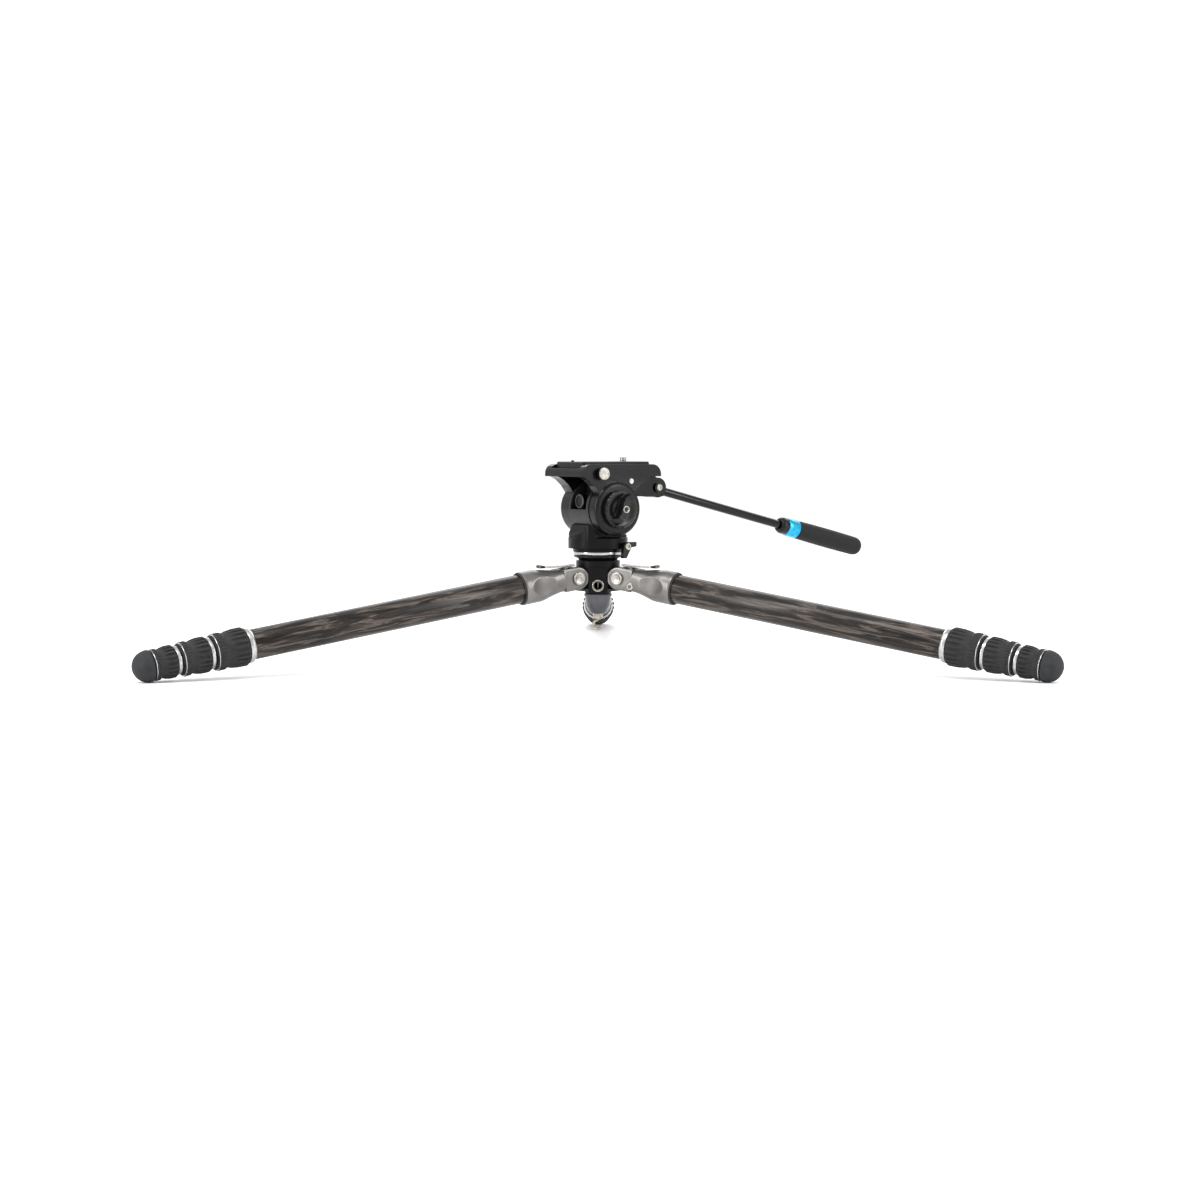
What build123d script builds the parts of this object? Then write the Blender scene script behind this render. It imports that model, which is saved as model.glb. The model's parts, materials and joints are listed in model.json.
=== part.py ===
from build123d import *
from math import asin, cos, degrees, radians, sin, sqrt
import os

# Tripod with a levelling half ball and a fluid head, in millimetres.
# +Z is up, the origin is on the floor under the hub's axis, and the front is at -Y.

# Legs: directions seen from above, and the pivots on the hub.
LEG_AZIMUTHS = {"left": 210.0, "right": 330.0, "rear": 90.0}
PIVOT_RADIUS = 29.5
PIVOT_HEIGHT = 83.0
LEG_REACH = 464.5
FOOT_RADIUS = 15.0
FOOT_LENGTH = 17.0

# Leg sections: the first tube's radius, and the steps to the ones inside it.
TUBE_RADIUS = 14.3
TUBE_WALL = 1.3
SLIDE_GAP = 0.3
TUBE_START = 40.0
TUBE_STAGGER = 5.0
GRIP_LENGTHS = (33.0, 27.4, 22.8)
GRIP_COVERS = (4.1, 4.3, 4.4)
GRIP_LIP = 6.0
COLLAR_LENGTH = 4.4
FIRST_COLLAR_LENGTH = 5.5
COLLAR_RISE = 2.4
JOINT_GAP = 0.3

# Shoulder castings and their pivots.
KNUCKLE_RADIUS = 11.0
FORK_HALF_WIDTH = 13.5
LOBE_HALF_WIDTH = 8.0
FORK_GAP = 0.3
SLOT_DEPTH = 12.2
NECK_START = 14.0
NECK_END = 40.0
SOCKET_RADIUS = 16.6
SOCKET_END = 60.0
BOLT_RADIUS = 4.0
BOLT_HEAD_RADIUS = 6.5
BOLT_HEAD_LENGTH = 1.5
RUNNING_CLEARANCE = 0.05

# The leg angle stop slides on a sloping rail on top of the shoulder.
STOP_RISE = 11.7
STOP_SLOPE = 7.0
STOP_LENGTH = 38.0
STOP_HALF_WIDTH = 6.5
STOP_THICKNESS = 2.2
STOP_LIP = 1.4
RAIL_HALF_WIDTH = 5.0

# Hub, levelling ball, and what clamps it from below.
HUB_RADIUS = 23.5
HUB_BOTTOM = 69.4
HUB_TOP = 93.4
HUB_BOSS_RADIUS = 13.0
CUP_RADIUS = 22.0
CUP_TOP = 99.9
BALL_RADIUS = 24.0
BALL_CENTRE = 115.0
LINER_THICKNESS = 0.8
LINER_DROP = 0.8
LINER_OPENING = 9.8
HUB_OPENING = 9.4
WASHER_RADIUS = 50.0
DRAW_BOLT_RADIUS = 3.0
STUD_RADIUS = 4.76
BALL_RIM_RADIUS = 24.0
BALL_RIM_BOTTOM = 103.4
BALL_RIM_SLOPE = 1.0
BALL_TOP = 106.0
TOP_RING_RADIUS = 24.5
TOP_RING_HEIGHT = 3.0
STUD_BOTTOM = 98.0
DISH_RADIUS = 14.0
DISH_THICKNESS = 2.0
KNOB_RADIUS = 12.8
KNOB_BOTTOM = 46.9
KNOB_TIP_RADIUS = 7.0
KNOB_TIP_HEIGHT = 6.0
HOOK_CAP_HEIGHT = 5.0
HOOK_CAP_FLOOR = 2.0
HOOK_RADIUS = 4.5
HOOK_WIRE = 1.4
HOOK_ARC = 260.0
PORT_HEIGHT = 75.6
PORT_RADIUS = 3.97
PORT_OUTER = 5.8
PORT_LENGTH = 10.0
PORT_PROUD = 0.8

# Head: turned about the hub's axis so that the pan handle points back and to the right.
HEAD_AZIMUTH = 33.0
PAN_BASE_RADIUS = 25.0
PAN_BASE_HEIGHT = 3.0
PAN_POST_RADIUS = 8.0
PAN_POST_HEIGHT = 8.0
PAN_RADIUS = 29.75
PAN_TOP = 124.0
PAN_EDGE = 1.5
SEAT_TOP = 136.0
SEAT_FRONT = -29.0
SEAT_FRONT_TOP = -24.0
SEAT_BACK = 18.2
TILT_HEIGHT = 152.0
DRUM_RADIUS = 27.5
DRUM_NEAR = -24.3
DRUM_FAR = 11.9
DRUM_CORE_RADIUS = 18.2
DRUM_WALL = 4.0
RECESS_BOTTOM = 151.5
RECESS_BACK = -8.0
DIAL_RADIUS = 7.3
DIAL_HEIGHT = 159.6
DIAL_FRONT = -26.5
DIAL_BACK = -18.8
DIAL_SPINDLE_RADIUS = 2.0
DIAL_SPINDLE_END = -12.0
CHEEK_RADIUS = 26.8
CHEEK_NEAR = -37.6
CHEEK_FAR = 30.0
CHEEK_ROUND = 4.0
SKIRT_INSET = 2.6
SKIRT_FRONT = ((-40.5, 32.5), (-33.0, 28.5), (-26.5, 22.8), (-21.5, 15.5))
SKIRT_BACK = ((22.5, 14.0), (29.0, 21.0), (40.0, 32.5))
AXLE_RADIUS = 6.0
AXLE_CAP = 3.0
SPINDLE_RADIUS = 3.0
DRAG_KNOB_RADIUS = 19.0
DRAG_KNOB_DISC = 6.0
DRAG_KNOB_BAR = 8.0
BAR_LENGTH = 34.0
BAR_WIDTH = 9.0
BAR_TURN = -50.0
DECK_FRONT = -40.5
DECK_BACK = 52.4
DECK_NOSE = 9.0
DECK_TAIL = 10.0
DECK_HALF_WIDTH = 35.0
DECK_BOTTOM = 184.0
DECK_TOP = 196.0
CHANNEL_FLOOR = 192.3
CHANNEL_GAP = 1.0
PLATE_FRONT = -34.0
PLATE_BACK = 46.0
PLATE_HALF_WIDTH = 25.0
PLATE_TOP = 198.6
PLATE_CORNER = 3.0
PLATE_EDGE = 1.0
SCREW_POCKET_RADIUS = 9.0
SCREW_POCKET_DEPTH = 3.0
STOP_PIN_RADIUS = 1.5
STOP_PIN_HEIGHT = 1.5
CAMERA_SCREW_X = 30.0
CAMERA_SCREW_RADIUS = 3.175
CAMERA_SCREW_HEIGHT = 4.2
CAMERA_SCREW_NECK = 2.5
NECK_RISE = 0.6
CAMERA_SCREW_HEAD_RADIUS = 8.5
CAMERA_SCREW_HEAD = 2.2
LOCK_SCREW_X = -19.0
LOCK_SCREW_HEIGHT = 187.0
LOCK_HEAD_RADIUS = 6.0
LOCK_HEAD = 3.5
LEVER_X = 13.4
LEVER_Y = -29.0
LEVER_HEIGHT = 114.5
LEVER_THICKNESS = 5.0
LEVER_RADIUS = 4.5
LEVER_DROP = 11.6
LEVER_LEAN = 3.4
LEVER_TIP = 4.4
LEVER_TAB = 10.5
BRACKET_SIZE = 12.0
BRACKET_DROP = 6.0
LEVEL_X = 24.0
LEVEL_Y = -6.0
LEVEL_RADIUS = 4.5
LEVEL_RIM = 1.0
LEVEL_FLOOR = 0.8
LEVEL_HEIGHT = 1.4
ROSETTE_X = 55.0
ROSETTE_HEIGHT = 172.5
ROSETTE_RADIUS = 10.0
ROSETTE_NEAR = -25.5
ROSETTE_FAR = -13.0
ARM_BACK = 30.0
ARM_BOTTOM = 12.0
CLAMP_HEAD_RADIUS = 5.0
CLAMP_HEAD = 2.5
HANDLE_BLOCK_FAR = -4.0
HANDLE_SLOPE = 14.0
BLOCK_LENGTH = 17.0
BLOCK_WIDTH = 11.0
ROD_START = 10.5
ROD_RADIUS = 4.25
ROD_END = 178.0
RING_LENGTH = 14.0
RING_RADIUS = 9.4
ROD_IN_GRIP = 40.0
GRIP_END = 278.0
GRIP_RADIUS = 9.8

LEG_SLOPE = degrees(asin((PIVOT_HEIGHT - FOOT_RADIUS) / (LEG_REACH - FOOT_RADIUS)))


def heading(azimuth):
    """The level direction at this azimuth."""
    return Vector(cos(radians(azimuth)), sin(radians(azimuth)), 0)


def leg_plane(azimuth):
    """A leg's side plane: origin at the pivot, X along the leg, Y up from the leg."""
    out = heading(azimuth)
    slope = radians(LEG_SLOPE)
    pivot = out * PIVOT_RADIUS + Vector(0, 0, PIVOT_HEIGHT)
    along = out * cos(slope) - Vector(0, 0, sin(slope))
    return Plane(pivot, x_dir=along, z_dir=heading(azimuth - 90))


def upright(azimuth, across=0.0):
    """The upright plane along an azimuth, `across` to its right, with Y up from the floor."""
    right = heading(azimuth - 90)
    return Plane(right * across, x_dir=heading(azimuth), z_dir=right)


def level(height):
    """The head's level plane at a height: X towards the handle."""
    return Plane((0, 0, height), x_dir=heading(HEAD_AZIMUTH), z_dir=(0, 0, 1))


def head_side(across):
    """The head's side plane at Y = `across`, its origin on the tilt axis, Z towards the near side."""
    origin = heading(HEAD_AZIMUTH + 90) * across + Vector(0, 0, TILT_HEIGHT)
    return Plane(origin, x_dir=heading(HEAD_AZIMUTH), z_dir=heading(HEAD_AZIMUTH - 90))


def save(piece, name):
    piece.part.label = name
    export_step(piece.part, f"parts/{name}.step")


def turned(plane, outline):
    """A solid turned about the plane's X axis from an outline of (along, radius) points."""
    with BuildPart() as piece:
        with BuildSketch(plane):
            with BuildLine():
                Polyline(*outline, close=True)
            make_face()
        revolve(axis=Axis(plane.origin, plane.x_dir))
    return piece


def sphere_height(radius, distance):
    """The height of the lower half of a sphere about the ball's centre, at a distance from the axis."""
    return BALL_CENTRE - sqrt(radius**2 - distance**2)


# ---- Leg lengths, worked out from the foot inwards ----


def tube_radius(section):
    return TUBE_RADIUS - section * (TUBE_WALL + SLIDE_GAP)


def grip_start(lock):
    """Where a twist grip begins: the grips stand in a row that ends at the foot."""
    start = LEG_REACH - FOOT_LENGTH
    for index in range(len(GRIP_LENGTHS) - 1, lock - 1, -1):
        start -= GRIP_LENGTHS[index] + JOINT_GAP
        if index > lock:
            start -= COLLAR_LENGTH + JOINT_GAP
    return start


def tube_end(section):
    """A tube ends inside its grip, and the last one inside the foot."""
    if section == len(GRIP_LENGTHS):
        return LEG_REACH - FOOT_LENGTH + FOOT_RADIUS / 3
    return grip_start(section) + GRIP_LENGTHS[section] - GRIP_LIP - JOINT_GAP


# ---- Leg pieces ----


def shoulder(azimuth):
    """The forked casting between the hub's lobe and the upper tube."""
    side = leg_plane(azimuth)
    slope = radians(STOP_SLOPE)
    rail_top = STOP_RISE / cos(slope) - JOINT_GAP
    with BuildPart() as piece:
        with BuildSketch(side):
            Circle(KNUCKLE_RADIUS)
            with Locations((NECK_START / 2, 0)):
                Rectangle(NECK_START, 2 * KNUCKLE_RADIUS)
        extrude(amount=FORK_HALF_WIDTH, both=True)
        with BuildSketch(Plane(side.origin + side.x_dir * NECK_START, side.z_dir, side.x_dir)):
            Ellipse(FORK_HALF_WIDTH, KNUCKLE_RADIUS)
        with BuildSketch(Plane(side.origin + side.x_dir * NECK_END, side.z_dir, side.x_dir)):
            Circle(SOCKET_RADIUS)
        loft()
        with BuildSketch(Plane(side.origin + side.x_dir * NECK_END, side.z_dir, side.x_dir)):
            Circle(SOCKET_RADIUS)
        extrude(amount=SOCKET_END - NECK_END)
        with BuildSketch(side):
            with BuildLine():
                Polyline(
                    (NECK_START, 0),
                    (NECK_START, rail_top + NECK_START * sin(slope)),
                    (NECK_END, rail_top + NECK_END * sin(slope)),
                    (NECK_END, 0),
                    close=True,
                )
            make_face()
        extrude(amount=RAIL_HALF_WIDTH, both=True)
        with BuildSketch(side):
            with Locations((SLOT_DEPTH / 2 - KNUCKLE_RADIUS, 0)):
                Rectangle(SLOT_DEPTH + 2 * KNUCKLE_RADIUS, 6 * KNUCKLE_RADIUS)
        extrude(amount=LOBE_HALF_WIDTH + FORK_GAP, both=True, mode=Mode.SUBTRACT)
        with BuildSketch(side):
            Circle(BOLT_RADIUS + RUNNING_CLEARANCE)
        extrude(amount=FORK_HALF_WIDTH, both=True, mode=Mode.SUBTRACT)
        with BuildSketch(Plane(side.origin + side.x_dir * TUBE_START, side.z_dir, side.x_dir)):
            Circle(TUBE_RADIUS)
        extrude(amount=SOCKET_END - TUBE_START, mode=Mode.SUBTRACT)
    return piece


def angle_stop(azimuth):
    """The pull tab that sets the leg angle: a thin plate on the shoulder's rail, its outer end turned up."""
    side = leg_plane(azimuth)
    out = (side.x_dir * cos(radians(STOP_SLOPE)) + side.y_dir * sin(radians(STOP_SLOPE))).normalized()
    rail = Plane(side.origin, x_dir=out, z_dir=side.z_dir)
    top = STOP_RISE + STOP_THICKNESS
    with BuildPart() as piece:
        with BuildSketch(rail):
            with BuildLine():
                Polyline(
                    (0, STOP_RISE),
                    (STOP_LENGTH, STOP_RISE),
                    (STOP_LENGTH, top + STOP_LIP),
                    (STOP_LENGTH - STOP_LIP, top + STOP_LIP),
                    (STOP_LENGTH - 4 * STOP_LIP, top),
                    (0, top),
                    close=True,
                )
            make_face()
        extrude(amount=STOP_HALF_WIDTH, both=True)
    return piece


def tube(azimuth, section):
    """One hollow leg section; the inner ones carry a collar where the grip before them ends."""
    radius = tube_radius(section)
    start = TUBE_START + section * TUBE_STAGGER * 4 if section else TUBE_START
    end = tube_end(section)
    with BuildPart() as piece:
        add(turned(leg_plane(azimuth), [
            (start, radius - TUBE_WALL), (start, radius), (end, radius), (end, radius - TUBE_WALL),
        ]).part)
        if 0 < section < len(GRIP_LENGTHS):
            collar = grip_start(section) - JOINT_GAP
            rise = radius + COLLAR_RISE
            add(turned(leg_plane(azimuth), [
                (collar - COLLAR_LENGTH, radius), (collar - COLLAR_LENGTH, rise),
                (collar, rise), (collar, radius),
            ]).part)
    return piece


def first_collar(azimuth):
    """The bright collar on the upper tube, in front of the first grip."""
    end = grip_start(0) - JOINT_GAP
    return turned(leg_plane(azimuth), [
        (end - FIRST_COLLAR_LENGTH, TUBE_RADIUS), (end - FIRST_COLLAR_LENGTH, TUBE_RADIUS + COLLAR_RISE / 2),
        (end, TUBE_RADIUS + COLLAR_RISE), (end, TUBE_RADIUS),
    ])


def twist_grip(azimuth, lock):
    """A rubber-covered lock nut around the end of one tube, with a lip down to the next."""
    start = grip_start(lock)
    end = start + GRIP_LENGTHS[lock]
    outer = tube_radius(lock) + GRIP_COVERS[lock]
    bore = tube_radius(lock) + SLIDE_GAP
    lip_bore = tube_radius(lock + 1) + SLIDE_GAP
    return turned(leg_plane(azimuth), [
        (start, bore), (start, outer - 1), (start + 1, outer), (end - 3, outer), (end, outer - 2),
        (end, lip_bore), (end - GRIP_LIP, lip_bore), (end - GRIP_LIP, bore),
    ])


def foot(azimuth):
    """The domed rubber foot on the end of the last tube."""
    centre = LEG_REACH - FOOT_RADIUS
    start = LEG_REACH - FOOT_LENGTH
    socket_end = tube_end(len(GRIP_LENGTHS))
    radius = tube_radius(len(GRIP_LENGTHS))
    side = leg_plane(azimuth)
    half = FOOT_RADIUS * sqrt(0.5)
    with BuildPart() as piece:
        with BuildSketch(side):
            with BuildLine():
                Polyline(
                    (LEG_REACH, 0), (socket_end, 0), (socket_end, radius), (start, radius),
                    (start, FOOT_RADIUS), (centre, FOOT_RADIUS),
                )
                ThreePointArc((centre, FOOT_RADIUS), (centre + half, half), (LEG_REACH, 0))
            make_face()
        revolve(axis=Axis(side.origin, side.x_dir))
    return piece


# ---- Hub pieces ----


def hub_casting():
    """The hub: a cup for the levelling ball with three lobes that carry the legs."""
    half = FORK_HALF_WIDTH + FORK_GAP
    inner = LOBE_HALF_WIDTH
    cutter = KNUCKLE_RADIUS + FORK_GAP
    boss_edge = sphere_height(WASHER_RADIUS, HUB_BOSS_RADIUS)
    opening_edge = sphere_height(WASHER_RADIUS, HUB_OPENING)
    middle = (HUB_BOSS_RADIUS + HUB_OPENING) / 2
    with BuildPart() as piece:
        with BuildSketch(Plane.XY.offset(HUB_BOTTOM)):
            Circle(HUB_RADIUS)
        extrude(amount=HUB_TOP - HUB_BOTTOM)
        with BuildSketch(Plane.XY.offset(HUB_BOTTOM)):
            Circle(CUP_RADIUS)
        extrude(amount=CUP_TOP - HUB_BOTTOM)
        with BuildSketch(Plane.XZ):
            with BuildLine():
                Polyline(
                    (HUB_BOSS_RADIUS, boss_edge), (HUB_BOSS_RADIUS, HUB_BOTTOM + 1),
                    (HUB_OPENING, HUB_BOTTOM + 1), (HUB_OPENING, opening_edge),
                )
                ThreePointArc(
                    (HUB_OPENING, opening_edge),
                    (middle, sphere_height(WASHER_RADIUS, middle)),
                    (HUB_BOSS_RADIUS, boss_edge),
                )
            make_face()
        revolve(axis=Axis.Z)
        for azimuth in LEG_AZIMUTHS.values():
            with BuildSketch(upright(azimuth, -half)):
                with Locations((PIVOT_RADIUS, PIVOT_HEIGHT)):
                    Circle(cutter)
                with Locations((PIVOT_RADIUS + cutter, PIVOT_HEIGHT - 2 * cutter)):
                    Rectangle(4 * cutter, 4 * cutter)
            extrude(amount=2 * half, mode=Mode.SUBTRACT)
            with BuildSketch(upright(azimuth, -inner)):
                with Locations((PIVOT_RADIUS, PIVOT_HEIGHT)):
                    Circle(KNUCKLE_RADIUS)
                with Locations((PIVOT_RADIUS, PIVOT_HEIGHT - KNUCKLE_RADIUS)):
                    Rectangle(PIVOT_RADIUS / 2, 1.6 * KNUCKLE_RADIUS, align=(Align.MAX, Align.MIN))
                with Locations((PIVOT_RADIUS, PIVOT_HEIGHT)):
                    Circle(BOLT_RADIUS, mode=Mode.SUBTRACT)
            extrude(amount=2 * inner)
        with Locations((0, 0, BALL_CENTRE)):
            Sphere(BALL_RADIUS + LINER_THICKNESS + 2 * SLIDE_GAP, mode=Mode.SUBTRACT)
        with BuildSketch(Plane.XY.offset(HUB_BOTTOM - 2 * SLOT_DEPTH)):
            Circle(HUB_OPENING)
        extrude(amount=4 * SLOT_DEPTH, mode=Mode.SUBTRACT)
        with BuildSketch(Plane((0, 0, PORT_HEIGHT), x_dir=(1, 0, 0), z_dir=(0, -1, 0))):
            Circle(PORT_OUTER)
        extrude(amount=2 * HUB_RADIUS, mode=Mode.SUBTRACT)
    return piece


def pivot_bolts():
    """Three bolts through the lobes, with a low head at each end."""
    reach = FORK_HALF_WIDTH + FORK_GAP
    with BuildPart() as piece:
        for azimuth in LEG_AZIMUTHS.values():
            with BuildSketch(upright(azimuth, -reach)):
                with Locations((PIVOT_RADIUS, PIVOT_HEIGHT)):
                    Circle(BOLT_RADIUS)
            extrude(amount=2 * reach)
            for start in (-reach - BOLT_HEAD_LENGTH, reach):
                with BuildSketch(upright(azimuth, start)):
                    with Locations((PIVOT_RADIUS, PIVOT_HEIGHT)):
                        Circle(BOLT_HEAD_RADIUS)
                extrude(amount=BOLT_HEAD_LENGTH)
    return piece


def accessory_port():
    """The threaded steel bush in the hub's front."""
    front = HUB_RADIUS + PORT_PROUD
    with BuildPart() as piece:
        with BuildSketch(Plane((0, -front, PORT_HEIGHT), x_dir=(1, 0, 0), z_dir=(0, 1, 0))):
            Circle(PORT_OUTER)
            Circle(PORT_RADIUS, mode=Mode.SUBTRACT)
        extrude(amount=PORT_LENGTH)
    return piece


def level_liner():
    """The thin nylon cup between the hub and the levelling ball."""
    inner = BALL_RADIUS + SLIDE_GAP
    outer = inner + LINER_THICKNESS
    top = CUP_TOP - LINER_DROP
    depth = BALL_CENTRE - top
    inner_top = (sqrt(inner**2 - depth**2), top)
    outer_top = (sqrt(outer**2 - depth**2), top)
    middle = (LINER_OPENING + inner_top[0]) / 2
    inner_low = (LINER_OPENING, sphere_height(inner, LINER_OPENING))
    outer_low = (LINER_OPENING, sphere_height(outer, LINER_OPENING))
    with BuildPart() as piece:
        with BuildSketch(Plane.XZ):
            with BuildLine():
                ThreePointArc(inner_low, (middle, sphere_height(inner, middle)), inner_top)
                Line(inner_top, outer_top)
                ThreePointArc(outer_top, (middle, sphere_height(outer, middle)), outer_low)
                Line(outer_low, inner_low)
            make_face()
        revolve(axis=Axis.Z)
    return piece


def level_ball():
    """The half ball that levels the head, with a wider straight rim above a short slope."""
    low = (DRAW_BOLT_RADIUS, sphere_height(BALL_RADIUS, DRAW_BOLT_RADIUS))
    slope_bottom = BALL_RIM_BOTTOM - BALL_RIM_SLOPE
    rim = (sqrt(BALL_RADIUS**2 - (BALL_CENTRE - slope_bottom) ** 2), slope_bottom)
    middle = (BALL_RADIUS / 2, sphere_height(BALL_RADIUS, BALL_RADIUS / 2))
    with BuildPart() as piece:
        with BuildSketch(Plane.XZ):
            with BuildLine():
                ThreePointArc(low, middle, rim)
                Polyline(
                    rim, (BALL_RIM_RADIUS, BALL_RIM_BOTTOM), (BALL_RIM_RADIUS, BALL_TOP), (STUD_RADIUS, BALL_TOP),
                    (STUD_RADIUS, STUD_BOTTOM), (DRAW_BOLT_RADIUS, STUD_BOTTOM), low,
                )
            make_face()
        revolve(axis=Axis.Z)
    return piece


def ring(bottom, height, outer, bore):
    """A flat ring about the hub's axis."""
    with BuildPart() as piece:
        with BuildSketch(Plane.XY.offset(bottom)):
            Circle(outer)
            if bore:
                Circle(bore, mode=Mode.SUBTRACT)
        extrude(amount=height)
    return piece


def clamp_knob():
    """The knob under the hub: a spherical dish that meets the hub, a neck and a round grip."""
    dish = WASHER_RADIUS + SLIDE_GAP
    bore = DRAW_BOLT_RADIUS + RUNNING_CLEARANCE
    dish_edge = sphere_height(dish, DISH_RADIUS)
    shoulder_height = sphere_height(dish, 0) - DISH_THICKNESS
    middle = DISH_RADIUS / 2
    with BuildPart() as piece:
        with BuildSketch(Plane.XZ):
            with BuildLine():
                ThreePointArc(
                    (bore, sphere_height(dish, bore)), (middle, sphere_height(dish, middle)),
                    (DISH_RADIUS, dish_edge),
                )
                Polyline(
                    (DISH_RADIUS, dish_edge), (DISH_RADIUS, dish_edge - DISH_THICKNESS),
                    (KNOB_RADIUS, shoulder_height), (KNOB_RADIUS - 1, (shoulder_height + KNOB_BOTTOM) / 2),
                    (KNOB_TIP_RADIUS + 2, KNOB_BOTTOM + KNOB_TIP_HEIGHT / 3), (KNOB_TIP_RADIUS, KNOB_BOTTOM),
                    (bore, KNOB_BOTTOM), (bore, sphere_height(dish, bore)),
                )
            make_face()
        revolve(axis=Axis.Z)
    return piece


def hook():
    """The swivelling weight hook on the draw bolt's end."""
    cap_bottom = KNOB_BOTTOM - JOINT_GAP - HOOK_CAP_HEIGHT
    centre = cap_bottom - HOOK_WIRE - HOOK_RADIUS
    with BuildPart() as piece:
        with BuildSketch(Plane.XY.offset(cap_bottom)):
            Circle(DRAW_BOLT_RADIUS + 2)
        extrude(amount=HOOK_CAP_HEIGHT)
        with BuildSketch(Plane.XY.offset(cap_bottom + HOOK_CAP_FLOOR)):
            Circle(DRAW_BOLT_RADIUS + RUNNING_CLEARANCE)
        extrude(amount=HOOK_CAP_HEIGHT, mode=Mode.SUBTRACT)
        with BuildSketch(Plane.XY.offset(centre + HOOK_RADIUS)):
            Circle(HOOK_WIRE)
        extrude(amount=HOOK_WIRE + 1)
        with BuildSketch(Plane.YZ):
            with Locations((0, centre + HOOK_RADIUS)):
                Circle(HOOK_WIRE)
        revolve(axis=Axis((0, 0, centre), (0, -1, 0)), revolution_arc=HOOK_ARC)
    return piece


# ---- Head pieces ----


def pan_base():
    """The fixed base of the head with the post that the head pans on."""
    bottom = BALL_TOP + TOP_RING_HEIGHT
    with BuildPart() as piece:
        with BuildSketch(Plane.XY.offset(bottom)):
            Circle(PAN_BASE_RADIUS)
        extrude(amount=PAN_BASE_HEIGHT)
        with BuildSketch(Plane.XY.offset(bottom + PAN_BASE_HEIGHT)):
            Circle(PAN_POST_RADIUS)
        extrude(amount=PAN_POST_HEIGHT)
        with BuildSketch(Plane.XY.offset(bottom)):
            Circle(STUD_RADIUS)
        extrude(amount=PAN_BASE_HEIGHT + PAN_POST_HEIGHT / 2, mode=Mode.SUBTRACT)
    return piece


def pan_body():
    """The turning deck of the head: a disc, the drum's seat with its sloping front, the level and the bracket."""
    bottom = BALL_TOP + TOP_RING_HEIGHT + PAN_BASE_HEIGHT + JOINT_GAP
    drum_length = DRUM_FAR - DRUM_NEAR
    low = bottom - TILT_HEIGHT
    top = SEAT_TOP - TILT_HEIGHT
    with BuildPart() as piece:
        with BuildSketch(head_side(DRUM_FAR - 1)):
            with BuildLine():
                Polyline(
                    (SEAT_FRONT, low), (SEAT_FRONT, PAN_TOP - TILT_HEIGHT), (SEAT_FRONT_TOP, top),
                    (SEAT_BACK, top), (SEAT_BACK, low), close=True,
                )
            make_face()
        extrude(amount=drum_length - 2)
        with BuildSketch(level(bottom)):
            Circle(PAN_RADIUS)
        extrude(amount=SEAT_TOP - bottom, mode=Mode.INTERSECT)
        with BuildSketch(level(bottom)):
            Circle(PAN_RADIUS)
        extrude(amount=PAN_TOP - PAN_EDGE - bottom)
        with BuildSketch(level(PAN_TOP - PAN_EDGE)):
            Circle(PAN_RADIUS)
        extrude(amount=PAN_EDGE, taper=45)
        with BuildSketch(level(PAN_TOP - 1)):
            with Locations((LEVEL_X, LEVEL_Y)):
                Circle(LEVEL_RADIUS + LEVEL_RIM)
        extrude(amount=1 + LEVEL_RIM)
        with BuildSketch(level(bottom)):
            with Locations((LEVER_X, LEVER_Y + JOINT_GAP)):
                Rectangle(BRACKET_SIZE, BRACKET_SIZE, align=(Align.CENTER, Align.MIN))
        extrude(amount=PAN_TOP - BRACKET_DROP - bottom)
        with BuildSketch(head_side(DRUM_FAR)):
            Circle(DRUM_RADIUS)
        extrude(amount=drum_length, mode=Mode.SUBTRACT)
        with BuildSketch(Plane.XY.offset(bottom)):
            Circle(PAN_POST_RADIUS + RUNNING_CLEARANCE)
        extrude(amount=PAN_POST_HEIGHT, mode=Mode.SUBTRACT)
        with BuildSketch(level(PAN_TOP - LEVEL_FLOOR)):
            with Locations((LEVEL_X, LEVEL_Y)):
                Circle(LEVEL_RADIUS)
        extrude(amount=2 * LEVEL_RIM + LEVEL_FLOOR, mode=Mode.SUBTRACT)
    return piece


def spirit_level():
    """The round bubble level set in the disc behind the drum."""
    with BuildPart() as piece:
        with BuildSketch(level(PAN_TOP - LEVEL_FLOOR)):
            with Locations((LEVEL_X, LEVEL_Y)):
                Circle(LEVEL_RADIUS)
        extrude(amount=LEVEL_HEIGHT)
    return piece


def pan_lock_lever():
    """The lever that locks the pan: a boss, a hanging arm that leans forward and a thumb tab."""
    drop = LEVER_HEIGHT - TILT_HEIGHT
    tip = LEVER_X - LEVER_LEAN
    with BuildPart() as piece:
        with BuildSketch(head_side(LEVER_Y)):
            with Locations((LEVER_X, drop)):
                Circle(LEVER_RADIUS)
            with BuildLine():
                Polyline(
                    (LEVER_X - LEVER_RADIUS, drop), (tip - LEVER_TIP / 2, drop - LEVER_DROP),
                    (tip + LEVER_TIP / 2, drop - LEVER_DROP), (LEVER_X + LEVER_RADIUS, drop - 1),
                    (LEVER_X + LEVER_TAB, drop), (LEVER_X + LEVER_TAB, drop + LEVER_RADIUS),
                    (LEVER_X, drop + LEVER_RADIUS), close=True,
                )
            make_face()
        extrude(amount=LEVER_THICKNESS)
    return piece


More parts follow.
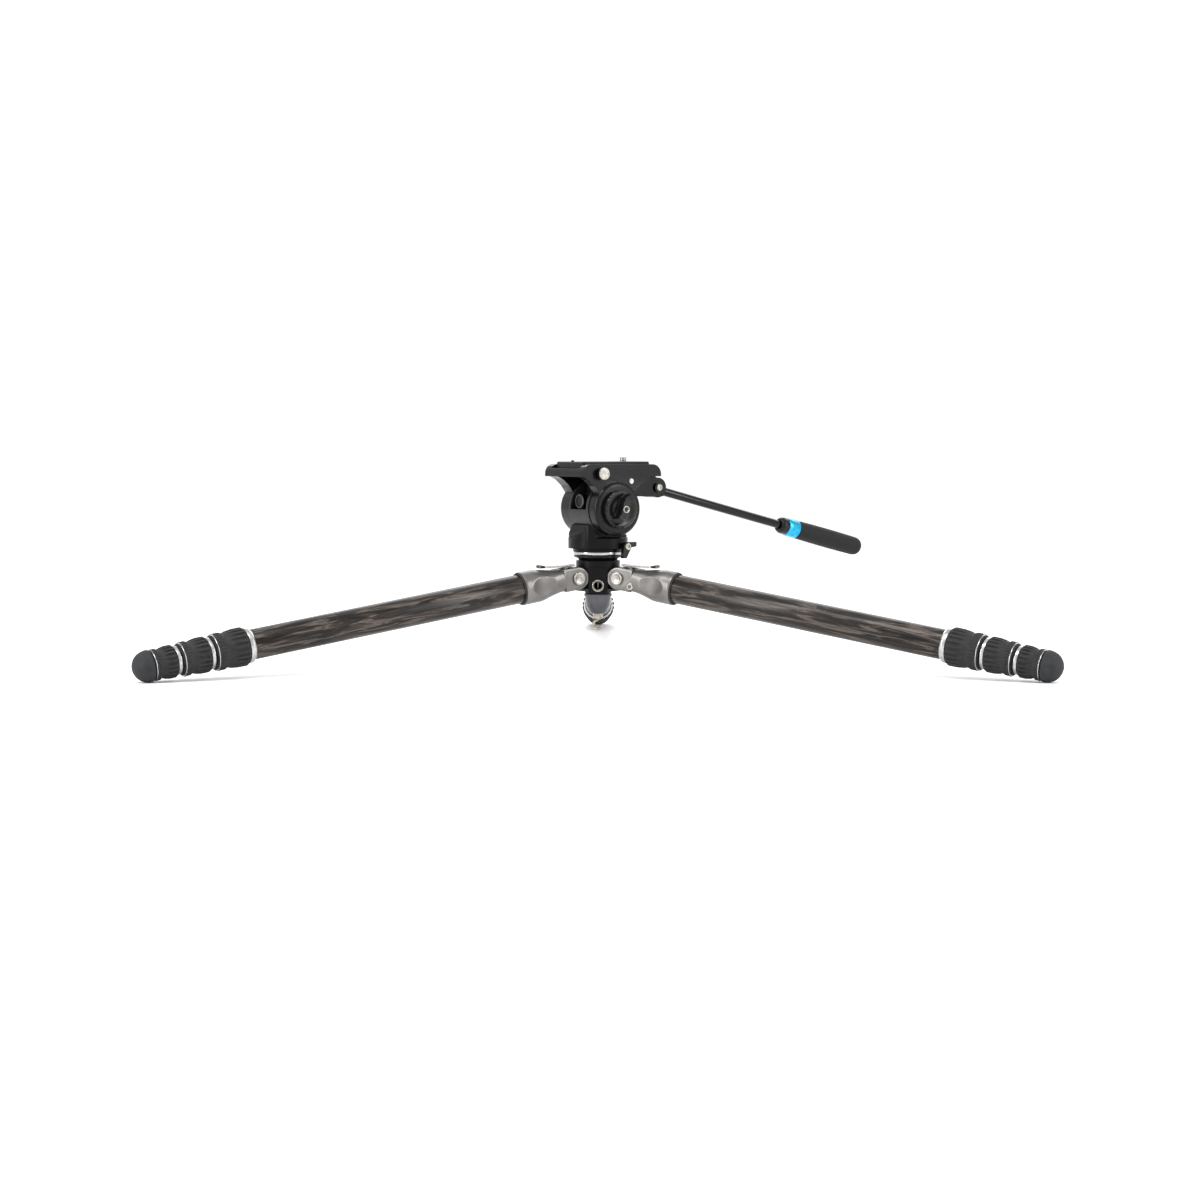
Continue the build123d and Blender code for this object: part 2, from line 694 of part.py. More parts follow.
def drum():
    """The fluid drum between the cheeks, with a recess in its upper front for the balance dial."""
    floor = RECESS_BOTTOM - TILT_HEIGHT
    with BuildPart() as piece:
        with BuildSketch(head_side(DRUM_FAR)):
            Circle(DRUM_RADIUS)
            Circle(AXLE_RADIUS, mode=Mode.SUBTRACT)
        extrude(amount=DRUM_FAR - DRUM_NEAR)
        with BuildSketch(head_side(DRUM_FAR - DRUM_WALL)):
            with Locations((RECESS_BACK, floor)):
                Rectangle(DRUM_RADIUS, DRUM_RADIUS, align=(Align.MAX, Align.MIN))
            Circle(DRUM_CORE_RADIUS, mode=Mode.SUBTRACT)
        extrude(amount=DRUM_FAR - DRUM_NEAR - 2 * DRUM_WALL, mode=Mode.SUBTRACT)
        with BuildSketch(dial_plane(DIAL_SPINDLE_END)):
            Circle(DIAL_SPINDLE_RADIUS + RUNNING_CLEARANCE)
        extrude(amount=DIAL_SPINDLE_END - DIAL_FRONT, mode=Mode.SUBTRACT)
    return piece


def dial_plane(forward):
    """The plane across the balance dial's axis at X = `forward` in the head's frame, facing the front."""
    middle = (DRUM_NEAR + DRUM_FAR) / 2
    origin = heading(HEAD_AZIMUTH) * forward + heading(HEAD_AZIMUTH + 90) * middle + Vector(0, 0, DIAL_HEIGHT)
    return Plane(origin, x_dir=(0, 0, 1), z_dir=heading(HEAD_AZIMUTH + 180))


def balance_dial():
    """The dial in the drum's recess that sets the counterbalance, on a short spindle."""
    with BuildPart() as piece:
        with BuildSketch(dial_plane(DIAL_SPINDLE_END)):
            Circle(DIAL_SPINDLE_RADIUS)
        extrude(amount=DIAL_SPINDLE_END - DIAL_BACK)
        with BuildSketch(dial_plane(DIAL_BACK)):
            Circle(DIAL_RADIUS)
        extrude(amount=DIAL_BACK - DIAL_FRONT)
    return piece


def tilt_axle():
    """The axle that is fixed in the drum: the cheeks and the drag knob turn on it."""
    far_end = CHEEK_FAR - AXLE_CAP
    with BuildPart() as piece:
        with BuildSketch(head_side(far_end)):
            Circle(AXLE_RADIUS)
        extrude(amount=far_end - CHEEK_NEAR)
        with BuildSketch(head_side(CHEEK_NEAR)):
            Circle(SPINDLE_RADIUS)
        extrude(amount=JOINT_GAP + DRAG_KNOB_DISC)
    return piece


def cheek_disc(inner, outer):
    """A round cheek about the tilt axis from Y = `inner` to Y = `outer`, its outer edge rounded."""
    direction = 1 if outer < inner else -1
    length = abs(inner - outer)
    side = head_side(inner)
    across = Plane(side.origin, x_dir=side.z_dir * direction, z_dir=side.x_dir)
    flat = CHEEK_RADIUS - CHEEK_ROUND
    bend = CHEEK_ROUND * sqrt(0.5)
    with BuildPart() as piece:
        with BuildSketch(across):
            with BuildLine():
                Polyline((length, flat), (length, 0), (0, 0), (0, CHEEK_RADIUS), (length - CHEEK_ROUND, CHEEK_RADIUS))
                ThreePointArc(
                    (length - CHEEK_ROUND, CHEEK_RADIUS), (length - CHEEK_ROUND + bend, flat + bend), (length, flat),
                )
            make_face()
        revolve(axis=Axis(across.origin, across.x_dir))
    return piece


def cradle():
    """The tilting cradle: a deck with a plate channel, two skirts with cheek discs and the handle's arm."""
    bottom = DECK_BOTTOM - TILT_HEIGHT
    top = DECK_TOP - TILT_HEIGHT
    rosette = ROSETTE_HEIGHT - TILT_HEIGHT
    near = DRUM_NEAR - JOINT_GAP
    far = DRUM_FAR + JOINT_GAP
    lock = LOCK_SCREW_HEIGHT - TILT_HEIGHT
    nose = DECK_NOSE * (1 - sqrt(0.5))
    tail = DECK_TAIL * (1 - sqrt(0.5))
    discs = [cheek_disc(near, CHEEK_NEAR), cheek_disc(far, CHEEK_FAR)]
    with BuildPart() as piece:
        with BuildSketch(head_side(DECK_HALF_WIDTH)):
            with BuildLine():
                Polyline((DECK_FRONT, top - DECK_NOSE), (DECK_FRONT, bottom), (DECK_BACK, bottom),
                         (DECK_BACK, top - DECK_TAIL))
                ThreePointArc((DECK_BACK, top - DECK_TAIL), (DECK_BACK - tail, top - tail),
                              (DECK_BACK - DECK_TAIL, top))
                Line((DECK_BACK - DECK_TAIL, top), (DECK_FRONT + DECK_NOSE, top))
                ThreePointArc((DECK_FRONT + DECK_NOSE, top), (DECK_FRONT + nose, top - nose),
                              (DECK_FRONT, top - DECK_NOSE))
            make_face()
        extrude(amount=2 * DECK_HALF_WIDTH)
        for start, end in ((near, CHEEK_NEAR + SKIRT_INSET), (CHEEK_FAR - SKIRT_INSET, far)):
            with BuildSketch(head_side(start)):
                with BuildLine():
                    Polyline(*SKIRT_FRONT, (0, 0), *SKIRT_BACK, close=True)
                make_face()
            extrude(amount=start - end)
        for disc in discs:
            add(disc.part)
        with BuildSketch(head_side(ROSETTE_FAR)):
            with Locations((ROSETTE_X, rosette)):
                Circle(ROSETTE_RADIUS)
            with BuildLine():
                Polyline(
                    (ARM_BACK, bottom + 1), (DECK_BACK - 2, bottom + 1),
                    (ROSETTE_X + ROSETTE_RADIUS - 2, rosette + 3), (ROSETTE_X, rosette - ROSETTE_RADIUS + 1),
                    (ARM_BACK, ARM_BOTTOM), close=True,
                )
            make_face()
        extrude(amount=ROSETTE_FAR - ROSETTE_NEAR)
        with BuildSketch(head_side(CHEEK_FAR)):
            Circle(AXLE_RADIUS + RUNNING_CLEARANCE)
        extrude(amount=CHEEK_FAR - CHEEK_NEAR, mode=Mode.SUBTRACT)
        with BuildSketch(head_side(ROSETTE_FAR)):
            with Locations((ROSETTE_X, rosette)):
                Circle(SPINDLE_RADIUS + RUNNING_CLEARANCE)
        extrude(amount=ROSETTE_FAR - ROSETTE_NEAR, mode=Mode.SUBTRACT)
        with BuildSketch(head_side(-PLATE_HALF_WIDTH - CHANNEL_GAP)):
            with Locations((LOCK_SCREW_X, lock)):
                Circle(SPINDLE_RADIUS + RUNNING_CLEARANCE)
        extrude(amount=DECK_HALF_WIDTH, mode=Mode.SUBTRACT)
        with BuildSketch(level(CHANNEL_FLOOR)):
            Rectangle(4 * DECK_BACK, 2 * (PLATE_HALF_WIDTH + CHANNEL_GAP))
        extrude(amount=DECK_TOP, mode=Mode.SUBTRACT)
    return piece


def drag_knob():
    """The tilt drag knob: a disc and a raised grip bar with the spindle's hole through both."""
    start = CHEEK_NEAR - JOINT_GAP
    with BuildPart() as piece:
        with BuildSketch(head_side(start)):
            Circle(DRAG_KNOB_RADIUS)
            Circle(SPINDLE_RADIUS + RUNNING_CLEARANCE, mode=Mode.SUBTRACT)
        extrude(amount=DRAG_KNOB_DISC)
        with BuildSketch(head_side(start - DRAG_KNOB_DISC)):
            SlotOverall(BAR_LENGTH, BAR_WIDTH, rotation=BAR_TURN)
        extrude(amount=DRAG_KNOB_BAR)
    return piece


def quick_release_plate():
    """The sliding plate, with a hole and a recess for the camera screw, and a small stop pin."""
    bottom = CHANNEL_FLOOR + JOINT_GAP
    with BuildPart() as piece:
        with BuildSketch(level(bottom)):
            with Locations(((PLATE_FRONT + PLATE_BACK) / 2, 0)):
                RectangleRounded(PLATE_BACK - PLATE_FRONT, 2 * PLATE_HALF_WIDTH, PLATE_CORNER)
        extrude(amount=PLATE_TOP - bottom)
        chamfer(piece.faces().sort_by(Axis.Z)[-1].edges(), PLATE_EDGE)
        with BuildSketch(level(bottom)):
            with Locations((CAMERA_SCREW_X, 0)):
                Circle(CAMERA_SCREW_RADIUS + RUNNING_CLEARANCE)
        extrude(amount=PLATE_TOP, mode=Mode.SUBTRACT)
        with BuildSketch(level(bottom)):
            with Locations((CAMERA_SCREW_X, 0)):
                Circle(SCREW_POCKET_RADIUS)
        extrude(amount=SCREW_POCKET_DEPTH, mode=Mode.SUBTRACT)
        with BuildSketch(level(PLATE_TOP)):
            with Locations((-CAMERA_SCREW_X, 0)):
                Circle(STOP_PIN_RADIUS)
        extrude(amount=STOP_PIN_HEIGHT)
    return piece


def camera_screw():
    """The captive quarter-inch screw: a flat head below the plate, a thin neck through it, and the thread above."""
    bottom = CHANNEL_FLOOR + 2 * JOINT_GAP
    thread = PLATE_TOP + NECK_RISE
    with BuildPart() as piece:
        for base, top, radius in (
            (bottom, bottom + CAMERA_SCREW_HEAD, CAMERA_SCREW_HEAD_RADIUS),
            (bottom, thread, CAMERA_SCREW_NECK),
            (thread, PLATE_TOP + CAMERA_SCREW_HEIGHT, CAMERA_SCREW_RADIUS),
        ):
            with BuildSketch(level(base)):
                with Locations((CAMERA_SCREW_X, 0)):
                    Circle(radius)
            extrude(amount=top - base)
    return piece


def plate_lock_screw():
    """The slotted screw that clamps the plate from the near side."""
    height = LOCK_SCREW_HEIGHT - TILT_HEIGHT
    inner = -PLATE_HALF_WIDTH - 2 * CHANNEL_GAP
    with BuildPart() as piece:
        with BuildSketch(head_side(inner)):
            with Locations((LOCK_SCREW_X, height)):
                Circle(SPINDLE_RADIUS)
        extrude(amount=inner - CHEEK_NEAR + LOCK_HEAD)
        with BuildSketch(head_side(CHEEK_NEAR - JOINT_GAP)):
            with Locations((LOCK_SCREW_X, height)):
                Circle(LOCK_HEAD_RADIUS)
        extrude(amount=LOCK_HEAD)
    return piece


def handle_plane():
    """The handle's side plane: origin at the rosette, X along the rod."""
    side = head_side((ROSETTE_FAR + HANDLE_BLOCK_FAR) / 2)
    origin = side.from_local_coords((ROSETTE_X, ROSETTE_HEIGHT - TILT_HEIGHT, 0))
    slope = radians(HANDLE_SLOPE)
    along = side.x_dir * cos(slope) - side.y_dir * sin(slope)
    return Plane(origin, x_dir=along, z_dir=side.z_dir)


def handle_clamp():
    """The toothed block on the rosette that holds the rod."""
    side = handle_plane()
    half = (HANDLE_BLOCK_FAR - ROSETTE_FAR) / 2 - JOINT_GAP
    with BuildPart() as piece:
        with BuildSketch(side):
            Circle(ROSETTE_RADIUS)
            Rectangle(BLOCK_LENGTH, BLOCK_WIDTH, align=(Align.MIN, Align.CENTER))
            Circle(SPINDLE_RADIUS + RUNNING_CLEARANCE, mode=Mode.SUBTRACT)
        extrude(amount=half, both=True)
        add(turned(side, [
            (ROD_START, 0), (ROD_START, ROD_RADIUS), (BLOCK_LENGTH, ROD_RADIUS), (BLOCK_LENGTH, 0),
        ]).part, mode=Mode.SUBTRACT)
    return piece


def clamp_screw():
    """The screw through the rosette, with a round head on the near side."""
    height = ROSETTE_HEIGHT - TILT_HEIGHT
    with BuildPart() as piece:
        with BuildSketch(head_side(HANDLE_BLOCK_FAR)):
            with Locations((ROSETTE_X, height)):
                Circle(SPINDLE_RADIUS)
        extrude(amount=HANDLE_BLOCK_FAR - ROSETTE_NEAR + CLAMP_HEAD)
        with BuildSketch(head_side(ROSETTE_NEAR - JOINT_GAP)):
            with Locations((ROSETTE_X, height)):
                Circle(CLAMP_HEAD_RADIUS)
        extrude(amount=CLAMP_HEAD)
    return piece


def handle_pieces():
    """The rod, its coloured ring and the soft grip, along the handle's axis."""
    side = handle_plane()
    inner = ROD_END + RING_LENGTH
    rod_end = inner + ROD_IN_GRIP
    rod = turned(side, [(ROD_START, 0), (ROD_START, ROD_RADIUS), (rod_end, ROD_RADIUS), (rod_end, 0)])
    band = turned(side, [
        (ROD_END, ROD_RADIUS), (ROD_END, RING_RADIUS), (inner, RING_RADIUS), (inner, ROD_RADIUS),
    ])
    grip = turned(side, [
        (inner, ROD_RADIUS), (inner, GRIP_RADIUS - 1), (inner + 2, GRIP_RADIUS),
        (GRIP_END - 4, GRIP_RADIUS), (GRIP_END - 1, GRIP_RADIUS - 2), (GRIP_END, GRIP_RADIUS - 5),
        (GRIP_END, 0), (rod_end, 0), (rod_end, ROD_RADIUS),
    ])
    return rod, band, grip


os.makedirs("parts", exist_ok=True)

for leg_name, leg_azimuth in LEG_AZIMUTHS.items():
    save(shoulder(leg_azimuth), f"shoulder_{leg_name}")
    save(angle_stop(leg_azimuth), f"angle_stop_{leg_name}")
    save(first_collar(leg_azimuth), f"collar_{leg_name}")
    save(foot(leg_azimuth), f"foot_{leg_name}")
    for number in range(len(GRIP_LENGTHS) + 1):
        save(tube(leg_azimuth, number), f"tube_{number + 1}_{leg_name}")
    for number in range(len(GRIP_LENGTHS)):
        save(twist_grip(leg_azimuth, number), f"grip_{number + 1}_{leg_name}")

save(hub_casting(), "hub_casting")
save(pivot_bolts(), "pivot_bolts")
save(accessory_port(), "accessory_port")
save(level_liner(), "level_liner")
save(level_ball(), "level_ball")
save(ring(BALL_TOP, TOP_RING_HEIGHT, TOP_RING_RADIUS, STUD_RADIUS), "top_ring")
bolt_bottom = KNOB_BOTTOM - JOINT_GAP - HOOK_CAP_HEIGHT + HOOK_CAP_FLOOR
save(ring(bolt_bottom, STUD_BOTTOM - bolt_bottom, DRAW_BOLT_RADIUS, 0), "draw_bolt")
stud_top = BALL_TOP + TOP_RING_HEIGHT + PAN_BASE_HEIGHT + PAN_POST_HEIGHT / 2
save(ring(STUD_BOTTOM, stud_top - STUD_BOTTOM, STUD_RADIUS, 0), "head_stud")
save(clamp_knob(), "clamp_knob")
save(hook(), "hook")
save(pan_base(), "pan_base")
save(pan_body(), "pan_body")
save(spirit_level(), "spirit_level")
save(pan_lock_lever(), "pan_lock_lever")
save(drum(), "drum")
save(balance_dial(), "balance_dial")
save(tilt_axle(), "tilt_axle")
save(cradle(), "cradle")
save(drag_knob(), "drag_knob")
save(quick_release_plate(), "quick_release_plate")
save(camera_screw(), "camera_screw")
save(plate_lock_screw(), "plate_lock_screw")
save(handle_clamp(), "handle_clamp")
save(clamp_screw(), "clamp_screw")
for handle_piece, handle_name in zip(handle_pieces(), ("handle_rod", "handle_ring", "handle_grip")):
    save(handle_piece, handle_name)
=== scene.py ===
# %% [markdown]
# # A tripod with a fluid head
#
# The tripod stands at its lowest leg angle with every section closed. The moving frame of the model
# (bodies, joints and plain solids) is loaded first. This notebook then dresses it: carbon tubes, ribbed
# rubber locks, cast shoulders, a satin black head. Every length is in metres, and a millimetre gets a
# name so that real sizes read naturally.

# %% Load the frame
import json
import math

import bmesh
import bpy
import mathutils
import numpy as np
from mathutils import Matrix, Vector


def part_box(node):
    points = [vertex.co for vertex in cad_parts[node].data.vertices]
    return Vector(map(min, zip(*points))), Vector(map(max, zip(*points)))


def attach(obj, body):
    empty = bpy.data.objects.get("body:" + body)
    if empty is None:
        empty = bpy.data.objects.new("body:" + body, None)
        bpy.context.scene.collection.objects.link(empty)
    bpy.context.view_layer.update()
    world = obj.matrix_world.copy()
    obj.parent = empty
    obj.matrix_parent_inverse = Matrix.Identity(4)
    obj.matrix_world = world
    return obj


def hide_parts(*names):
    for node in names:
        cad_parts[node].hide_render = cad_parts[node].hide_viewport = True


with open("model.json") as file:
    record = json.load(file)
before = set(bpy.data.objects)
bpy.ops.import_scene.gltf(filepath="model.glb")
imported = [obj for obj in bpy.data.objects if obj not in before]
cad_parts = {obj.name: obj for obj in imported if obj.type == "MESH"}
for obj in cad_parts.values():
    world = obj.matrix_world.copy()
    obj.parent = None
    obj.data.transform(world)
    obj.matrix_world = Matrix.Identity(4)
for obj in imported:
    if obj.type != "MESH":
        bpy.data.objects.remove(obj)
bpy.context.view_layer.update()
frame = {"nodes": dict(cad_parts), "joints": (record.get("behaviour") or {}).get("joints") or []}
MM = 0.001

# %% [markdown]
# ## Directions and measures
#
# Each leg has its own axes: along the tube, up from it, and across it. They could be typed in, but the
# fold joint already holds the pivot and the cross axis, and the slide joint holds the direction of the
# tube, so both are read from the joints. The head has axes too: its near side is where the drag knob
# points.

# %% Read the axes
LEGS = ("left", "right", "rear")
joints = {joint["name"]: joint for joint in frame["joints"]}


def axes_of(leg):
    """A leg's pivot and its three unit directions: along the tube, up, and across."""
    pivot = np.array(joints[f"{leg}_leg_fold"]["pos_m"])
    across = np.array(joints[f"{leg}_leg_fold"]["axis"])
    along = np.array(joints[f"{leg}_slide_2"]["axis"])
    return pivot, along, np.cross(along, across), across


head_forward = np.array(joints["plate_slide"]["axis"])
near_side = np.array(joints["tilt_turn"]["axis"])
tilt_centre = np.array(joints["tilt_turn"]["pos_m"])
UP = np.array([0.0, 0.0, 1.0])
hub_axes = (np.zeros(3), UP, np.array([1.0, 0.0, 0.0]), np.array([0.0, 1.0, 0.0]))


def node_points(node):
    """All corners of a node, as rows of x, y, z."""
    mesh = frame["nodes"][node].data
    points = np.empty(len(mesh.vertices) * 3)
    mesh.vertices.foreach_get("co", points)
    return points.reshape(-1, 3)


def reach(node, axes):
    """A node's start and end along the first axis, and its largest distance from it."""
    offset = node_points(node) - axes[0]
    along = offset @ axes[1]
    away = np.linalg.norm(offset - np.outer(along, axes[1]), axis=1)
    return along.min(), along.max(), away.max()


print("upper tube runs", [round(float(v / MM), 1) for v in reach("tube_1_left", axes_of("left"))], "mm")

# %% [markdown]
# ## One surface from two parameters
#
# Almost every piece here is turned, moulded or extruded, so its skin is a grid: one parameter runs along
# the piece and the other round it. A function makes the mesh from an array of points and writes the
# distances along and round as UV in metres, so that a weave or a brushed line can later follow the
# surface.

# %% Helper: a grid of points becomes a piece
def finish_mesh(name, mesh, smooth_angle=40):
    """Makes an object of a mesh, shades it smooth below an angle, and links it to the scene."""
    piece = bpy.data.objects.new(name, mesh)
    bpy.context.scene.collection.objects.link(piece)
    mesh.polygons.foreach_set("use_smooth", np.ones(len(mesh.polygons), dtype=bool))
    mesh.set_sharp_from_angle(angle=math.radians(smooth_angle))
    return piece


def surface(name, points, uv, close_rows=False, caps=False, smooth_angle=40):
    """A grid of points (rows, columns, 3), always closed across its columns.

    Each cell is a four-sided face between neighbouring rows and columns. Rows may close on themselves, or the
    first and last rows may be filled as caps. uv holds one pair for each point, and has one more column."""
    rows, columns = points.shape[:2]
    steps = rows if close_rows else rows - 1
    i, j = np.meshgrid(np.arange(steps), np.arange(columns), indexing="ij")
    below, right = (i + 1) % rows, (j + 1) % columns
    here, under = i * columns, below * columns
    corners = np.stack([here + j, here + right, under + right, under + j], axis=-1)
    faces = corners.reshape(-1, 4).tolist()
    if caps:
        faces += [list(range(columns))[::-1], list(range((rows - 1) * columns, rows * columns))]
    mesh = bpy.data.meshes.new(name)
    mesh.from_pydata(points.reshape(-1, 3).tolist(), [], faces)
    layer = mesh.uv_layers.new(name="UVMap")
    cells = np.stack([uv[i, j], uv[i, j + 1], uv[i + 1, j + 1], uv[i + 1, j]], axis=2).reshape(-1, 2)
    values = np.zeros((len(mesh.loops), 2))
    values[: len(cells)] = cells
    layer.data.foreach_set("uv", values.ravel())
    shell = bmesh.new()
    shell.from_mesh(mesh)
    bmesh.ops.remove_doubles(shell, verts=shell.verts, dist=1e-7)
    bmesh.ops.recalc_face_normals(shell, faces=shell.faces)
    shell.to_mesh(mesh)
    shell.free()
    return finish_mesh(name, mesh, smooth_angle)


def round_axis(axes, along, radius, angle):
    """Points at a distance along an axis, at a radius and an angle round it, from up towards across."""
    origin, forward, up, across = axes
    spoke = np.cos(angle)[..., None] * up + np.sin(angle)[..., None] * across
    return origin + along[..., None] * forward + radius[..., None] * spoke


def turned(name, axes, profile, columns=96, wave=None, smooth_angle=40):
    """A surface of revolution: the profile is a list of (along, radius), turned once round the first axis.

    wave(along, angle) may add to the radius. The profile's last point joins its first."""
    line = np.array(profile, dtype=float)
    angle = np.linspace(0, 2 * np.pi, columns + 1)
    loop = np.vstack([line, line[:1]])
    along, turn = np.meshgrid(loop[:, 0], angle, indexing="ij")
    radius = np.repeat(loop[:, 1:2], columns + 1, axis=1)
    if wave is not None:
        radius = radius + np.where(radius > 1e-6, wave(along, turn), 0)
    points = round_axis(axes, along, radius, turn)
    run = np.concatenate([[0], np.cumsum(np.hypot(*np.diff(loop, axis=0).T))])
    uv = np.stack([np.repeat(run[:, None], columns + 1, axis=1), turn * line[:, 1].max()], axis=-1)
    rows = len(line)
    return surface(name, points[:rows, :-1], uv[: rows + 1], close_rows=True, smooth_angle=smooth_angle)


def rounded(corners, fillet, steps=4):
    """A profile whose corners are rounded: each corner becomes a few points of a curve that starts and ends
    one fillet away from it, blending its two sides as (1-t)^2, 2t(1-t), t^2."""
    corners = np.array(corners, dtype=float)
    before, after = np.roll(corners, 1, axis=0) - corners, np.roll(corners, -1, axis=0) - corners
    size_before, size_after = np.linalg.norm(before, axis=1), np.linalg.norm(after, axis=1)
    cut = np.minimum(fillet, 0.45 * np.minimum(size_before, size_after))[:, None]
    first = corners + before / size_before[:, None] * cut
    last = corners + after / size_after[:, None] * cut
    t = np.linspace(0, 1, steps)[None, :, None]
    curve = (1 - t) ** 2 * first[:, None] + 2 * t * (1 - t) * corners[:, None] + t**2 * last[:, None]
    return curve.reshape(-1, 2)


# %% [markdown]
# The castings already have their true shape in the plain solids. A bevel needs whole faces to work on, so
# a copy is merged, its flat triangles are joined, and its sharp edges then get the small radius that
# casting leaves.

# %% Helper: a CAD node with softened edges
def softened(node, edge, segments=2, angle=30):
    """A copy of a node's own surface, merged, with its sharp edges bevelled to a small real radius."""
    source = frame["nodes"][node].data
    shell = bmesh.new()
    shell.from_mesh(source)
    bmesh.ops.remove_doubles(shell, verts=shell.verts, dist=2e-6)
    bmesh.ops.dissolve_limit(
        shell, angle_limit=math.radians(1), verts=shell.verts, edges=shell.edges, delimit={"NORMAL"}
    )
    mesh = bpy.data.meshes.new(f"{node}_finish")
    shell.to_mesh(mesh)
    shell.free()
    mesh.materials.clear()
    piece = finish_mesh(f"{node}_finish", mesh, angle)
    bevel = piece.modifiers.new("edges", "BEVEL")
    bevel.width = edge
    bevel.segments = segments
    bevel.limit_method = "ANGLE"
    bevel.angle_limit = math.radians(angle)
    bevel.harden_normals = True
    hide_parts(node)
    return piece


# %% [markdown]
# ## Finishes
#
# Colours are written as the familiar sRGB hex values and turned to the linear values that light is added
# up in. One small function adds a node, sets its values and links its inputs; each finish below is a
# short recipe.

# %% Helper: colours and nodes
def linear(hex_colour):
    """An sRGB hex colour as linear red, green, blue and alpha: the standard curve, undone."""
    channels = np.array([int(hex_colour[k:k + 2], 16) / 255 for k in (1, 3, 5)])
    light = np.where(channels <= 0.04045, channels / 12.92, ((channels + 0.055) / 1.055) ** 2.4)
    return (*[float(value) for value in light], 1.0)


def add_node(tree, kind, inputs=None, stops=(), **settings):
    """Adds a shader node. inputs maps a socket to a value or to another node's output; stops fill a ramp."""
    node = tree.nodes.new("ShaderNode" + kind)
    for key, value in settings.items():
        setattr(node, key, value)
    for _ in stops[2:]:
        node.color_ramp.elements.new(1.0)
    for k, (position, colour) in enumerate(stops):
        node.color_ramp.elements[k].position = position
        node.color_ramp.elements[k].color = linear(colour)
    for key, value in (inputs or {}).items():
        if isinstance(value, bpy.types.NodeSocket):
            tree.links.new(value, node.inputs[key])
        else:
            node.inputs[key].default_value = value
    return node


def new_finish(name):
    """An empty material: returns it and its node tree."""
    material = bpy.data.materials.new(name)
    material.use_nodes = True
    material.node_tree.nodes.clear()
    return material, material.node_tree


def dress(piece, material, body):
    """Gives a piece its finish and the body that it moves with."""
    piece.data.materials.clear()
    piece.data.materials.append(material)
    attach(piece, body)
    return piece


# %% [markdown]
# ## Carbon fibre under clear coat
#
# The tubes are rolled from carbon cloth whose outer layer was pressed while wet, so the fibres drift in
# long strands of brown-grey under a thin clear coat. An image wrapped on the tube would do, but it would
# not scale. Instead the strands are noise stretched along the tube and bent a little, with a fine fibre
# line over it.

# %% Finish: marbled carbon tube
STRAND_LENGTH, STRAND_WIDTH = 1 / 20.0, 1 / 190.0
FIBRE_LENGTH, FIBRE_WIDTH = 0.04, 0.0007
FIBRE_SHOWS = 0.45
COLOUR_A, COLOUR_B, MIXED_COLOUR = 6, 7, 2


def carbon_finish():
    """Strands 5 mm wide and 50 mm long, drifting in slow waves, crossed by fibre lines 0.7 mm wide."""
    material, tree = new_finish("carbon_fibre_clear_coated")
    place = add_node(tree, "TexCoord").outputs["UV"]
    along = add_node(tree, "Mapping", {
        "Vector": place, "Scale": (1 / STRAND_LENGTH, 1 / STRAND_WIDTH, 1), "Rotation": (0, 0, 0.05),
    })
    thin = add_node(tree, "Mapping", {"Vector": place, "Scale": (1 / FIBRE_LENGTH, 1 / FIBRE_WIDTH, 1)})
    drift = add_node(tree, "TexNoise", {
        "Vector": along.outputs["Vector"], "Scale": 1.0, "Detail": 4.0, "Roughness": 0.6, "Distortion": 1.1,
    })
    fibre = add_node(tree, "TexNoise", {"Vector": thin.outputs["Vector"], "Scale": 1.0, "Detail": 2.0})
    strands = add_node(tree, "ValToRGB", {"Fac": drift.outputs["Fac"]}, stops=[
        (0.38, "#0f0c0a"), (0.47, "#1f1a17"), (0.53, "#342d29"), (0.6, "#5b524b"), (0.7, "#292421"),
    ])
    lines = add_node(tree, "ValToRGB", {"Fac": fibre.outputs["Fac"]},
                     stops=[(0.3, "#7a7a7a"), (0.65, "#ffffff")])
    colour = add_node(tree, "Mix", {
        "Factor": FIBRE_SHOWS, COLOUR_A: strands.outputs["Color"], COLOUR_B: lines.outputs["Color"],
    }, data_type="RGBA", blend_type="MULTIPLY")
    gloss = add_node(tree, "MapRange", {
        "Value": drift.outputs["Fac"], "From Min": 0.3, "From Max": 0.7, "To Min": 0.3, "To Max": 0.42,
    })
    bump = add_node(tree, "Bump", {"Height": fibre.outputs["Fac"], "Distance": 0.03 * MM, "Strength": 0.3})
    shader = add_node(tree, "BsdfPrincipled", {
        "Base Color": colour.outputs[MIXED_COLOUR], "Roughness": gloss.outputs["Result"],
        "Normal": bump.outputs["Normal"],
        "Specular IOR Level": 0.18, "Coat Weight": 0.12, "Coat Roughness": 0.12,
    })
    add_node(tree, "OutputMaterial", {"Surface": shader.outputs["BSDF"]})
    return material


carbon = carbon_finish()
print("made", carbon.name)

# %% [markdown]
# ## Paint and powder coat
#
# The shoulders are cast magnesium with a fine metallic grey paint; the head is black powder coat, a
# little orange-peeled. One recipe serves both: colour varies slowly between two close tones, as paint
# over a casting does, and a much finer noise breaks up the gloss and raises the grain.

